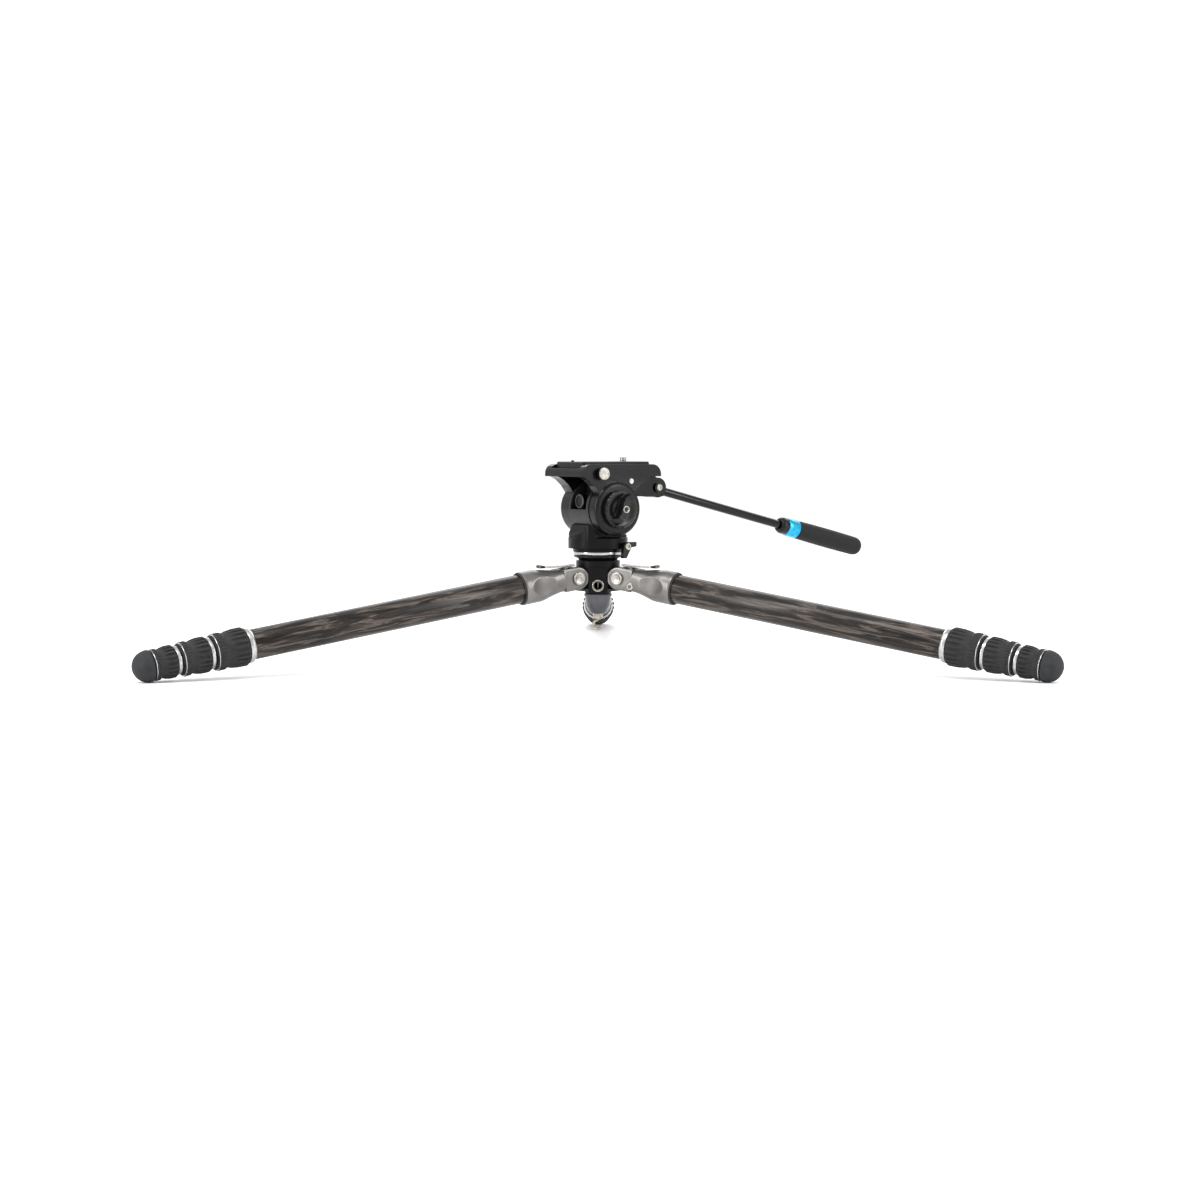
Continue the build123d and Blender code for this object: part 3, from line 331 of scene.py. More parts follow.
# %% Finishes: paint and powder coat
def paint_finish(name, dark, light, metallic, low, high, speck=0.35 * MM, depth=0.02 * MM, shine=0.5):
    """Two tones in clouds 18 mm across; roughness and grain follow a noise of the given speck size."""
    material, tree = new_finish(name)
    place = add_node(tree, "TexCoord").outputs["Object"]
    cloud = add_node(tree, "TexNoise", {"Vector": place, "Scale": 1 / (18 * MM), "Detail": 2.0})
    fine = add_node(tree, "TexNoise", {"Vector": place, "Scale": 1 / speck, "Detail": 2.0})
    tone = add_node(tree, "ValToRGB", {"Fac": cloud.outputs["Fac"]}, stops=[(0.35, dark), (0.65, light)])
    gloss = add_node(tree, "MapRange", {
        "Value": fine.outputs["Fac"], "From Min": 0.3, "From Max": 0.7, "To Min": low, "To Max": high,
    })
    bump = add_node(tree, "Bump", {"Height": fine.outputs["Fac"], "Distance": depth, "Strength": 0.5})
    shader = add_node(tree, "BsdfPrincipled", {
        "Base Color": tone.outputs["Color"], "Roughness": gloss.outputs["Result"],
        "Normal": bump.outputs["Normal"], "Metallic": metallic, "Specular IOR Level": shine,
    })
    add_node(tree, "OutputMaterial", {"Surface": shader.outputs["BSDF"]})
    return material


gunmetal = paint_finish("magnesium_casting_painted_gunmetal", "#666462", "#787674", 0.8, 0.3, 0.42)
powder_black = paint_finish(
    "aluminium_casting_black_powder_coat", "#030304", "#080809", 0.0, 0.24, 0.36, shine=0.12,
)
satin_black = paint_finish(
    "aluminium_black_hard_anodised", "#060607", "#0c0c0d", 0.0, 0.2, 0.32, 0.2 * MM, shine=0.2,
)
satin_grey = paint_finish("drum_shell_satin_grey_paint", "#19191a", "#242425", 0.35, 0.3, 0.42, shine=0.3)
gloss_black = paint_finish(
    "steel_rod_gloss_black_paint", "#040405", "#0a0a0b", 0.0, 0.14, 0.24, 0.5 * MM, shine=0.25,
)
moulded_black = paint_finish(
    "knob_moulded_black_nylon", "#040404", "#0b0b0c", 0.0, 0.2, 0.32, 0.25 * MM, 0.03 * MM, 0.3,
)
knob_grey = paint_finish("knob_dark_grey_anodised", "#4a4a4d", "#5c5c60", 0.8, 0.28, 0.4)
nylon_white = paint_finish("liner_natural_nylon", "#cfcdc4", "#e0ded6", 0.0, 0.4, 0.55)
print("painted finishes: 8")

# %% [markdown]
# ## Rubber and foam
#
# Rubber is dull, with a faint mottling from its mould. Both noises sit on the object, so they move with
# the piece.

# %% Finishes: rubber and foam
def rubber_finish(name, dark, light, lump, depth):
    """Moulded rubber: nearly black and dull, mottled every 5 mm, with a grain of the given lump size."""
    material, tree = new_finish(name)
    place = add_node(tree, "TexCoord").outputs["Object"]
    mottle = add_node(tree, "TexNoise", {"Vector": place, "Scale": 1 / (5 * MM), "Detail": 3.0})
    fine = add_node(tree, "TexNoise", {"Vector": place, "Scale": 1 / lump, "Detail": 3.0, "Roughness": 0.6})
    tone = add_node(tree, "ValToRGB", {"Fac": mottle.outputs["Fac"]}, stops=[(0.35, dark), (0.68, light)])
    gloss = add_node(tree, "MapRange", {
        "Value": mottle.outputs["Fac"], "From Min": 0.3, "From Max": 0.7, "To Min": 0.6, "To Max": 0.78,
    })
    bump = add_node(tree, "Bump", {"Height": fine.outputs["Fac"], "Distance": depth, "Strength": 0.7})
    shader = add_node(tree, "BsdfPrincipled", {
        "Base Color": tone.outputs["Color"], "Roughness": gloss.outputs["Result"],
        "Normal": bump.outputs["Normal"], "Specular IOR Level": 0.3,
    })
    add_node(tree, "OutputMaterial", {"Surface": shader.outputs["BSDF"]})
    return material


grip_rubber = rubber_finish("lock_sleeve_moulded_rubber", "#19191a", "#29292a", 0.4 * MM, 0.05 * MM)
foot_rubber = rubber_finish("foot_moulded_rubber", "#1d1e20", "#2a2b2e", 0.6 * MM, 0.08 * MM)
foam_rubber = rubber_finish("handle_grip_foam_rubber", "#0a0a0b", "#151516", 0.9 * MM, 0.14 * MM)
print("rubbers: 3")

# %% [markdown]
# ## Bright metal
#
# Collars and screws are turned: the tool leaves rings a quarter of a millimetre apart that stretch the
# highlight. The rings are a noise drawn out round the piece, which drives both the roughness and a very
# low bump.

# %% Finishes: bright metal
def turned_metal(name, dark, light, low, high, rings=0.25 * MM):
    """Turned metal: tool rings of the given spacing along the surface's own length."""
    material, tree = new_finish(name)
    source = add_node(tree, "TexCoord").outputs
    round_it = add_node(tree, "Mapping", {"Vector": source["UV"], "Scale": (1, 0.02, 1)})
    tool = add_node(tree, "TexNoise", {
        "Vector": round_it.outputs["Vector"], "Scale": 1 / rings, "Detail": 1.0,
    })
    cloud = add_node(tree, "TexNoise", {"Vector": source["Object"], "Scale": 1 / (4 * MM), "Detail": 3.0})
    tone = add_node(tree, "ValToRGB", {"Fac": cloud.outputs["Fac"]}, stops=[(0.3, dark), (0.7, light)])
    gloss = add_node(tree, "MapRange", {
        "Value": tool.outputs["Fac"], "From Min": 0.3, "From Max": 0.7, "To Min": low, "To Max": high,
    })
    bump = add_node(tree, "Bump", {"Height": tool.outputs["Fac"], "Distance": 0.01 * MM, "Strength": 0.4})
    shader = add_node(tree, "BsdfPrincipled", {
        "Base Color": tone.outputs["Color"], "Roughness": gloss.outputs["Result"],
        "Normal": bump.outputs["Normal"], "Metallic": 1.0,
    })
    add_node(tree, "OutputMaterial", {"Surface": shader.outputs["BSDF"]})
    return material


bright_ring = turned_metal("aluminium_turned_bright", "#a3a3a2", "#c2c2c1", 0.2, 0.32)
screw_steel = turned_metal("steel_screw_head_nickel", "#85827c", "#a8a59e", 0.2, 0.32)
stop_silver = turned_metal("aluminium_tab_clear_anodised", "#8f8985", "#b5aeaa", 0.28, 0.4)
hook_silver = turned_metal("hook_cast_zinc_satin", "#8d877b", "#b9b2a4", 0.3, 0.45)
blue_ring = turned_metal("aluminium_anodised_blue", "#1a86ad", "#3cb2d6", 0.2, 0.34)
dial_metal = turned_metal("dial_dark_anodised_face", "#1a1a1b", "#29292b", 0.26, 0.38)
print("metals: 6")

# %% [markdown]
# ## The bubble level
#
# The vial is acrylic over a pale green spirit. It is small and seen from above, so one coloured, glossy
# body is enough; a true glass vial would only add noise.

# %% Finish: the bubble level's vial
def vial_finish():
    """Acrylic over a yellow-green spirit: coloured and smooth."""
    material, tree = new_finish("level_vial_acrylic")
    place = add_node(tree, "TexCoord").outputs["Object"]
    cloud = add_node(tree, "TexNoise", {"Vector": place, "Scale": 1 / (3 * MM)})
    spirit = [(0.3, "#9db52c"), (0.7, "#c3d846")]
    tone = add_node(tree, "ValToRGB", {"Fac": cloud.outputs["Fac"]}, stops=spirit)
    shader = add_node(tree, "BsdfPrincipled", {
        "Base Color": tone.outputs["Color"], "Roughness": 0.08, "IOR": 1.49, "Coat Weight": 0.6,
    })
    add_node(tree, "OutputMaterial", {"Surface": shader.outputs["BSDF"]})
    return material


vial = vial_finish()
print("made", vial.name)

# %% [markdown]
# ## Legs: tubes and collars
#
# A leg section is a thin-walled tube: an outer wall and an inner one, joined at the ends. Its profile is
# a flat rectangle turned round the leg's axis, with the ends rounded by a fifth of a millimetre so that
# they catch light. Inside its shoulder the upper tube narrows, out of sight, to leave room for the flats
# milled in the casting. The station and radius of each section are measured on its node, so that the
# dressed tube slides with it.

# %% Tubes and collars
TUBE_WALL = 1.3 * MM
COLLAR_HEIGHT = 2.4 * MM
COLLAR_GAP, COLLAR_LENGTH = 0.3 * MM, 4.4 * MM
HIDDEN_IN_SOCKET = 4 * MM


def section_tube(leg, number):
    """An open tube over one leg section's own length."""
    axes = axes_of(leg)
    node = f"tube_{number}_{leg}"
    start, end, radius = reach(node, axes)
    if number in (2, 3):
        radius -= COLLAR_HEIGHT
    ends = [(start, radius), (end, radius), (end, radius - TUBE_WALL), (start, radius - TUBE_WALL)]
    if number == 1:
        _, mouth, _ = reach(f"shoulder_{leg}", axes)
        neck, step = radius - TUBE_WALL, mouth - HIDDEN_IN_SOCKET
        ends = [(start, neck), (step, neck), (step, radius), *ends[1:3], (start, neck - 0.3 * MM)]
    piece = turned(f"carbon_{node}", axes, rounded(ends, 0.2 * MM, 3), 72)
    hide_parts(node)
    return dress(piece, carbon, f"{leg}_leg" if number == 1 else f"{leg}_section_{number}")


def bright_collar(leg, name, start, end, bore, radius, body):
    """A collar that swells to its full radius at a third of its length, with rounded corners."""
    rise = radius - bore
    outline = [(start, bore), (start, bore + 0.55 * rise), (start + 0.35 * (end - start), radius),
               (end, radius), (end, bore)]
    piece = turned(f"{name}_{leg}", axes_of(leg), rounded(outline, 0.35 * MM), 72)
    return dress(piece, bright_ring, body)


for leg in LEGS:
    for number in (1, 2, 3, 4):
        section_tube(leg, number)
    start, end, radius = reach(f"collar_{leg}", axes_of(leg))
    bore = radius - COLLAR_HEIGHT
    top_collar = bright_collar(leg, "bright_collar_1", start, end, bore, radius, f"{leg}_leg")
    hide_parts(f"collar_{leg}")
    for number in (2, 3):
        lock_start, _, _ = reach(f"grip_{number}_{leg}", axes_of(leg))
        _, _, radius = reach(f"tube_{number}_{leg}", axes_of(leg))
        collar_end = lock_start - COLLAR_GAP
        bright_collar(leg, f"bright_collar_{number}", collar_end - COLLAR_LENGTH, collar_end,
                      radius - COLLAR_HEIGHT, radius, f"{leg}_section_{number}")
print("tubes: 12, collars: 9")

# %% [markdown]
# ## Twist locks
#
# A lock is a nut in a moulded rubber sleeve. Bold ribs at the hub's end give the fingers hold, the middle
# is a smooth waist, and short fine ribs end at a lip. One function of (along, angle) adds both sets of
# ribs to a turned profile: each set is a wave round the axis, flattened at its crests, times a window
# along the axis that fades at its ends.

# %% Ribbed rubber sleeves
def window(along, start, end, fade):
    """One between start and end, falling to zero over a fade at each side."""
    return np.clip((along - start) / fade, 0, 1) * np.clip((end - along) / fade, 0, 1)


def rib_wave(angle, count, sharp):
    """Flat-topped ribs round the axis: a cosine, steepened and clipped to 0..1."""
    return np.clip(0.5 + sharp * np.cos(count * angle), 0, 1)


BOLD_RIBS, FINE_RIBS = 22, 33
BOLD_HEIGHT, FINE_HEIGHT = 1.5 * MM, 0.7 * MM
RUNNING_GAP, LIP_STEP, LIP_LENGTH = 0.3 * MM, 1.6 * MM, 6 * MM


def lock_sleeve(leg, number):
    """A lock's rubber sleeve over its node's own length and radius, and the thin bright ring at its lip."""
    axes = axes_of(leg)
    node = f"grip_{number}_{leg}"
    start, end, radius = reach(node, axes)
    length = end - start
    _, _, tube = reach(f"tube_{number}_{leg}", axes)
    bore = (tube if number == 1 else tube - COLLAR_HEIGHT) + RUNNING_GAP
    lip_bore = bore - LIP_STEP
    base = radius - BOLD_HEIGHT
    split, waist = start + 0.56 * length, start + 0.68 * length
    stations = np.concatenate([
        np.linspace(start + 0.9 * MM, split + 0.6 * MM, 14),
        np.linspace(split + 1.4 * MM, end - 3.8 * MM, 12),
    ])
    waist_dip = 0.5 * MM * window(stations, split, waist + 1.5 * MM, 2.0 * MM)
    nose = [(start, base - 1.1 * MM), (start + 0.3 * MM, base - 0.35 * MM)]
    skin = [(s, base - dip) for s, dip in zip(stations, waist_dip)]
    lip = [
        (end - 3.0 * MM, base + 0.9 * MM), (end - 2.2 * MM, base + 0.9 * MM),
        (end - 2.0 * MM, base - 0.4 * MM), (end - 0.6 * MM, base - 0.6 * MM), (end, base - 2.0 * MM),
    ]
    inside = [(end, lip_bore), (end - LIP_LENGTH, lip_bore), (end - LIP_LENGTH, bore), (start, bore)]
    outline = np.array(nose + skin + lip + inside)
    angle = np.linspace(0, 2 * np.pi, BOLD_RIBS * 16 + 1)
    loop = np.vstack([outline, outline[:1]])
    along, turn = np.meshgrid(loop[:, 0], angle, indexing="ij")
    plain = np.repeat(loop[:, 1:2], len(angle), axis=1)
    fall = 1 - 0.75 * np.clip((along - start - 0.3 * length) / (split - start - 0.3 * length), 0, 1)
    bold = window(along, start + 0.3 * MM, split, 1.0 * MM) * fall * rib_wave(turn, BOLD_RIBS, 1.3)
    fine = window(along, waist, end - 3.4 * MM, 1.0 * MM) * rib_wave(turn + 0.05, FINE_RIBS, 0.9)
    outer = plain > base - 0.9 * MM
    ribs = BOLD_HEIGHT * bold + FINE_HEIGHT * fine
    radius_there = plain + np.where(outer & (along < end - 3.3 * MM), ribs, 0)
    points = round_axis(axes, along, radius_there, turn)
    uv = np.stack([along, turn * base], axis=-1)
    piece = surface(f"rubber_{node}", points[:-1, :-1], uv, close_rows=True, smooth_angle=50)
    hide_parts(node)
    dress(piece, grip_rubber, f"{leg}_lock_{number}")
    ring = turned(f"lock_ring_{number}_{leg}", axes, rounded([
        (end - 1.9 * MM, base - 0.6 * MM), (end - 1.9 * MM, base + 0.6 * MM),
        (end - 1.1 * MM, base + 0.6 * MM), (end - 1.1 * MM, base - 0.6 * MM),
    ], 0.2 * MM, 3), 72)
    dress(ring, bright_ring, f"{leg}_lock_{number}")


for leg in LEGS:
    for number in (1, 2, 3):
        lock_sleeve(leg, number)
print("lock sleeves: 9")

# %% [markdown]
# ## Feet
#
# The foot is a rubber dome with a step where it meets the last lock and two thin grooves round it. It is
# turned: a quarter circle for the dome, then a straight skirt. The grooves are small dips in the radius
# at two stations.

# %% Rubber feet
def dome_foot(leg):
    """A dome: radius = R sin(angle), along = centre + R cos(angle), then the skirt and the socket."""
    axes = axes_of(leg)
    start, end, radius = reach(f"foot_{leg}", axes)
    centre = end - radius
    angle = np.linspace(0, np.pi / 2, 24)
    dome = [(centre + radius * math.cos(a), max(radius * math.sin(a), 0.02 * MM)) for a in angle]
    skirt = [(centre - 0.4 * MM, radius), (start + 0.6 * MM, radius), (start, radius - 0.6 * MM)]
    socket = [(start, 9.5 * MM), (start + 4 * MM, 9.5 * MM), (start + 4 * MM, 0.02 * MM)]

    def grooves(along, _):
        dip = np.exp(-(((along - centre - 3.2 * MM) / (0.5 * MM)) ** 2))
        dip += np.exp(-(((along - centre - 5.6 * MM) / (0.5 * MM)) ** 2))
        return -0.35 * MM * dip

    piece = turned(f"rubber_foot_{leg}", axes, dome + skirt + socket, 72, grooves, smooth_angle=50)
    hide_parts(f"foot_{leg}")
    return dress(piece, foot_rubber, f"{leg}_section_4")


for leg in LEGS:
    dome_foot(leg)
print("feet: 3")

# %% [markdown]
# ## Shoulder castings
#
# A shoulder changes from a flat fork at the hub to a round socket for the tube, and an eye-shaped flat is
# milled on each side. A subdivided cage would do it, but the flats would blur. Here each section along
# the leg is a superellipse, |y/w|^n + |z/h|^n = 1, whose width, height and power n run smoothly from the
# fork's to the socket's. The flats come from clipping the sideways coordinate to a shallow parabola,
# which cuts the eye outline by itself.

# %% Cast shoulders
def smooth(value, low, high):
    """A smooth step from 0 at low to 1 at high: 3t^2 - 2t^3."""
    t = np.clip((value - low) / (high - low), 0, 1)
    return t * t * (3 - 2 * t)


FORK_HALF_WIDTH, FORK_GAP, FORK_RADIUS, FORK_LENGTH = 13.5 * MM, 8.35 * MM, 11.0 * MM, 15.5 * MM
SKIN_START = 12.3 * MM
FLAT_MIDDLE, FLAT_HALF, FLAT_CUT, FLAT_CURVE = 37 * MM, 17 * MM, 1.1 * MM, 3.6 * MM


def shoulder_skin(leg):
    """The casting's body from the fork to the socket's mouth."""
    axes = axes_of(leg)
    _, end, _ = reach(f"shoulder_{leg}", axes)
    _, _, tube = reach(f"tube_1_{leg}", axes)
    front = SKIN_START
    rows, columns = 56, 112
    station = np.concatenate([np.linspace(front, end - 1 * MM, rows - 2), [end - 0.4 * MM, end]])
    turn = np.linspace(0, 2 * np.pi, columns + 1)
    along, angle = np.meshgrid(station, turn, indexing="ij")
    width = FORK_HALF_WIDTH + (tube + 2.3 * MM - FORK_HALF_WIDTH) * smooth(along, front, 44 * MM)
    top = FORK_RADIUS + (tube + 2.2 * MM - FORK_RADIUS) * smooth(along, front, 50 * MM)
    bottom = FORK_RADIUS + (tube + 2.4 * MM - FORK_RADIUS) * smooth(along, front + 4 * MM, 42 * MM)
    power = 3.6 - 1.6 * smooth(along, front, 34 * MM)
    edge = np.where(along > end - 0.5 * MM, 0.985, 1.0)
    c, s = np.cos(angle), np.sin(angle)
    unit = (np.abs(c) ** power + np.abs(s) ** power) ** (-1 / power)
    height = unit * c * np.where(c > 0, top, bottom) * edge
    side = unit * s * width * edge
    flat = tube - FLAT_CUT + FLAT_CURVE * ((along - FLAT_MIDDLE) / FLAT_HALF) ** 2
    side = np.clip(side, -flat, flat)
    pivot, forward, up, across = axes
    points = pivot + along[..., None] * forward + height[..., None] * up + side[..., None] * across
    ring = np.ones((1, columns + 1))
    mouth = np.array([[end], [end - 3 * MM]]) * ring
    inner = round_axis(axes, mouth, np.full(mouth.shape, tube + 0.02 * MM), np.repeat(turn[None], 2, axis=0))
    hub_end = round_axis(axes, front * ring, 0.02 * MM * ring, turn[None])
    points = np.concatenate([hub_end, points, inner])
    uv = np.stack([np.repeat(np.arange(len(points))[:, None] * MM, columns + 1, axis=1),
                   np.repeat(turn[None] * tube, len(points), axis=0)], axis=-1)
    piece = surface(f"cast_shoulder_{leg}", points[:, :-1], uv, smooth_angle=24)
    return dress(piece, gunmetal, f"{leg}_leg")


def shoulder_fork(leg):
    """The two cheeks round the hub's lobe: rounded slabs that end in a half circle about the pivot."""
    pivot, along, up, across = axes_of(leg)
    outer, radius = FORK_HALF_WIDTH, FORK_RADIUS
    turn = np.linspace(np.pi / 2, 3 * np.pi / 2, 33)
    half_circle = [(radius * math.cos(a), radius * math.sin(a)) for a in turn]
    outline = np.array([(FORK_LENGTH, radius), *half_circle, (FORK_LENGTH, -radius)])
    for side, label in ((1, "a"), (-1, "b")):
        depth = outer - np.array([outer - FORK_GAP, 0.7 * MM, 0.2 * MM, 0, 0, 0.6 * MM, 0.6 * MM])
        shrink = np.array([1.0, 1.0, 0.98, 0.94, 0.80, 0.79, 0.45])
        rows = []
        for d, k in zip(depth, shrink):
            ring = outline * [1, k] if k > 0.9 else outline * k
            rows.append(pivot + ring[:, :1] * along + ring[:, 1:] * up + side * d * across)
        points = np.array(rows)
        uv = np.zeros((len(rows), points.shape[1] + 1, 2))
        piece = surface(f"fork_cheek_{label}_{leg}", points, uv, caps=True, smooth_angle=35)
        if label == "a":
            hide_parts(f"shoulder_{leg}")
        dress(piece, gunmetal, f"{leg}_leg")


for leg in LEGS:
    shoulder_skin(leg)
    shoulder_fork(leg)
print("shoulders: 3")

# %% [markdown]
# A soft seal closes the gap between the casting and the tube, and a small socket screw beside the fork
# sets how stiffly the leg folds. The screw is made further down, with the other screws; the seal is a
# short turned ring.

# %% Black seal between the shoulder and the tube
for leg in LEGS:
    _, mouth, _ = reach(f"shoulder_{leg}", axes_of(leg))
    _, _, tube_radius = reach(f"tube_1_{leg}", axes_of(leg))
    seal = turned(f"socket_seal_{leg}", axes_of(leg), rounded([
        (mouth + 0.02 * MM, tube_radius + 0.02 * MM), (mouth + 0.02 * MM, tube_radius + 2.1 * MM),
        (mouth + 1.7 * MM, tube_radius + 1.2 * MM), (mouth + 1.7 * MM, tube_radius + 0.02 * MM),
    ], 0.4 * MM), 72)
    dress(seal, foot_rubber, f"{leg}_leg")
print("seals: 3")

# %% [markdown]
# ## Angle-stop tabs
#
# The tab is a thin pressed plate: it lies on the shoulder, dips under the thumb and turns up at its end.
# A strip is carried along a curve and given its thickness, with narrow rounded sides, so one grid makes
# it.

# %% Angle-stop tabs
def stop_tab(leg):
    """A plate whose height follows the node's slope with a dip half a millimetre deep in its middle."""
    pivot, _, _, across = axes_of(leg)
    slide = np.array(joints[f"{leg}_angle_stop_slide"]["axis"])
    rise = np.cross(slide, across)
    start, end, _ = reach(f"angle_stop_{leg}", (pivot, slide, rise, across))
    bottom = ((node_points(f"angle_stop_{leg}") - pivot) @ rise).min()
    station = np.linspace(start, end, 60)
    share = (station - start) / (end - start)
    dip = 0.5 * MM * (1 - np.cos(2 * np.pi * share)) * 0.5
    lift = 1.6 * MM * smooth(share, 0.82, 1.0)
    thick = 2.1 * MM - dip + lift * 0.6
    half = 6.4 * MM - 1.8 * MM * smooth(share, 0.9, 1.0) ** 2
    section = rounded([(-1, 0), (1, 0), (1, 1), (-1, 1)], 0.45, 5)
    y, z = section[:, 0], section[:, 1]
    offset = (half[:, None] * y)[..., None] * across + (bottom + thick[:, None] * z)[..., None] * rise
    points = pivot + station[:, None, None] * slide + offset
    uv = np.stack(np.meshgrid(station, np.linspace(0, 30 * MM, len(section) + 1), indexing="ij"), axis=-1)
    piece = surface(f"stop_tab_{leg}", points, uv, caps=True, smooth_angle=40)
    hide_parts(f"angle_stop_{leg}")
    dress(piece, stop_silver, f"{leg}_stop")
    tip = points[-7:].copy()
    centre = tip.mean(axis=1, keepdims=True)
    tip = centre + (tip - centre) * 1.06
    cover = surface(f"stop_tab_grip_{leg}", tip, uv[-7:], caps=True, smooth_angle=40)
    dress(cover, grip_rubber, f"{leg}_stop")


for leg in LEGS:
    stop_tab(leg)
print("angle stops: 3")

# %% [markdown]
# ## Screw heads
#
# Every screw head is the same idea: a low round button whose top height depends on the place in it. A
# slot is a straight trench across the middle, a hex socket is a six-sided pit and a dimple is a shallow
# dish. Each is one function of (radius, angle), so the polar grid only needs enough points to draw the
# recess's edges.

# %% Helper: screw heads
HEAD_COLUMNS = 96


def screw_head(name, centre, direction, radius, height, recess, size, sunk, turn=0.3):
    """A button head: z = height, minus `sunk` inside the recess, with a rounded rim.

    Slot: |y| < size/2. Hex: the largest of three slanted widths < size/2. Dimple: sqrt(1 - 2r/size)."""
    direction = np.array(direction) / np.linalg.norm(direction)
    side = np.cross(direction, UP if abs(direction[2]) < 0.9 else np.array([1.0, 0, 0]))
    side /= np.linalg.norm(side)
    other = np.cross(direction, side)
    rim = 0.12 * radius
    share = np.concatenate([[0.004], np.linspace(0.05, 0.86, 26), [0.9, 0.95, 0.985, 1.0, 1.0]])
    angle = np.linspace(0, 2 * np.pi, HEAD_COLUMNS + 1)[:-1] + turn
    r, a = np.meshgrid(share * radius, angle, indexing="ij")
    x, y = r * np.cos(a - turn), r * np.sin(a - turn)
    if recess == "slot":
        depth = np.clip((size / 2 - np.abs(y)) / (0.15 * size) + 0.5, 0, 1) * (np.abs(x) < 0.93 * radius)
    elif recess == "dimple":
        depth = np.clip(1 - r / (size / 2), 0, 1) ** 0.5
    else:
        flats = (0, math.pi / 3, 2 * math.pi / 3)
        wide = np.max([np.abs(x * math.cos(k) + y * math.sin(k)) for k in flats], axis=0)
        depth = np.clip((size / 2 - wide) / (0.1 * size) + 0.5, 0, 1)
    drop = np.clip((r - radius + rim) / rim, 0, 1)
    z = height - rim * 0.8 * (1 - np.sqrt(np.clip(1 - drop**2, 0, 1))) - sunk * depth
    z[-1] = 0
    spin = np.cos(a)[..., None] * side + np.sin(a)[..., None] * other
    points = np.array(centre) + r[..., None] * spin + z[..., None] * direction
    rim_run = np.linspace(0, 2 * np.pi * radius, HEAD_COLUMNS + 1)
    uv = np.stack(np.meshgrid(share * radius, rim_run, indexing="ij"), axis=-1)
    return surface(name, points, uv, caps=True, smooth_angle=35)


def pair_heads(leg):
    """The two heads of one leg's pivot bolt, and the socket screw that sets the fold's stiffness."""
    pivot, along, up, across = axes_of(leg)
    for side, label in ((1, "a"), (-1, "b")):
        piece = screw_head(f"pivot_head_{label}_{leg}", pivot + side * 12.6 * MM * across, side * across,
                           6.4 * MM, 2.7 * MM, "dimple", 9.0 * MM, 0.35 * MM)
        if leg == "left" and label == "a":
            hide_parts("pivot_bolts")
        dress(piece, screw_steel, "hub")
    tension_along, tension_down, tension_out = 15.7 * MM, 5.3 * MM, 12.9 * MM
    place = pivot + tension_along * along - tension_down * up - tension_out * across
    stiff = screw_head(f"tension_screw_{leg}", place, -across, 3.4 * MM, 1.2 * MM, "hex", 3.4 * MM, 1.0 * MM)
    dress(stiff, screw_steel, f"{leg}_leg")


for leg in LEGS:
    pair_heads(leg)
print("pivot heads: 6, tension screws: 3")

# %% [markdown]
# ## Hub and levelling ball
#
# The hub is a black casting; its own solid already has the cup, lobes and slots, so it stays and only
# gets its edges rounded, as casting and tumbling would leave them. The half ball is turned: a sphere, a
# short slope and a rim.

# %% Hub, ball, rings and clamp knob
def wear(node, material):
    """Gives a node that stays as it is its finish."""
    slots = frame["nodes"][node].data.materials
    slots.clear()
    slots.append(material)


dress(softened("hub_casting", 0.5 * MM), powder_black, "hub")
RING_BORE = 5 * MM
start, end, radius = reach("top_ring", hub_axes)
ring_outline = [
    (start, RING_BORE), (start, radius - 0.4 * MM), (start + 0.5 * MM, radius), (end - 0.5 * MM, radius),
    (end, radius - 0.4 * MM), (end, RING_BORE),
]
top_ring = turned("bright_top_ring", hub_axes, rounded(ring_outline, 0.2 * MM, 3), 128)
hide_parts("top_ring")
dress(top_ring, bright_ring, "level_ball")

ball_start, ball_end, rim_radius = reach("level_ball", hub_axes)
centre_height = joints["level_a"]["pos_m"][2]
BALL_RADIUS = 24.0 * MM
slope_start, slope_end = 102.4 * MM, 103.4 * MM
heights = np.linspace(ball_start, slope_start, 28)
skin = [(h, math.sqrt(max(BALL_RADIUS**2 - (centre_height - h) ** 2, 1e-9))) for h in heights]
rim = [(slope_end, rim_radius), (ball_end - 0.3 * MM, rim_radius), (ball_end, rim_radius - 0.3 * MM),
       (ball_end, RING_BORE), (ball_start + 1 * MM, 3.1 * MM)]
ball = turned("half_ball", hub_axes, skin + rim, 128)
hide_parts("level_ball")
dress(ball, satin_black, "level_ball")

dress(softened("clamp_knob", 0.6 * MM), knob_grey, "clamp_knob")
dress(softened("hook", 0.3 * MM), hook_silver, "hook")
for node in ("draw_bolt", "head_stud", "tilt_axle"):
    wear(node, screw_steel)
wear("level_liner", nylon_white)

port_low, port_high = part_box("accessory_port")
port_centre = np.array([0, port_low[1], (port_low[2] + port_high[2]) / 2])
port_axes = (port_centre, np.array([0, 1.0, 0]), UP, np.array([1.0, 0, 0]))
depth, thread = port_high[1] - port_low[1], 3.97 * MM
teeth = [(s, thread + (0.45 * MM if k % 2 else 0)) for k, s in enumerate(np.linspace(0.9 * MM, depth, 20))]
port = turned("threaded_port", port_axes, [
    (depth, 5.8 * MM), (0.3 * MM, 5.8 * MM), (0, 5.4 * MM), (0, 4.8 * MM), (0.5 * MM, 4.4 * MM), *teeth,
], 72)
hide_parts("accessory_port")
dress(port, screw_steel, "hub")
print("hub and ball dressed")

# %% [markdown]
# ## Head castings
#
# The pan deck, drum and cradle are black castings with machined faces. Their solids already hold the
# right shapes, so a copy of each gets small bevels. The drag knob, the dial and the screw heads, which
# need finer shapes, follow as pieces of their own.

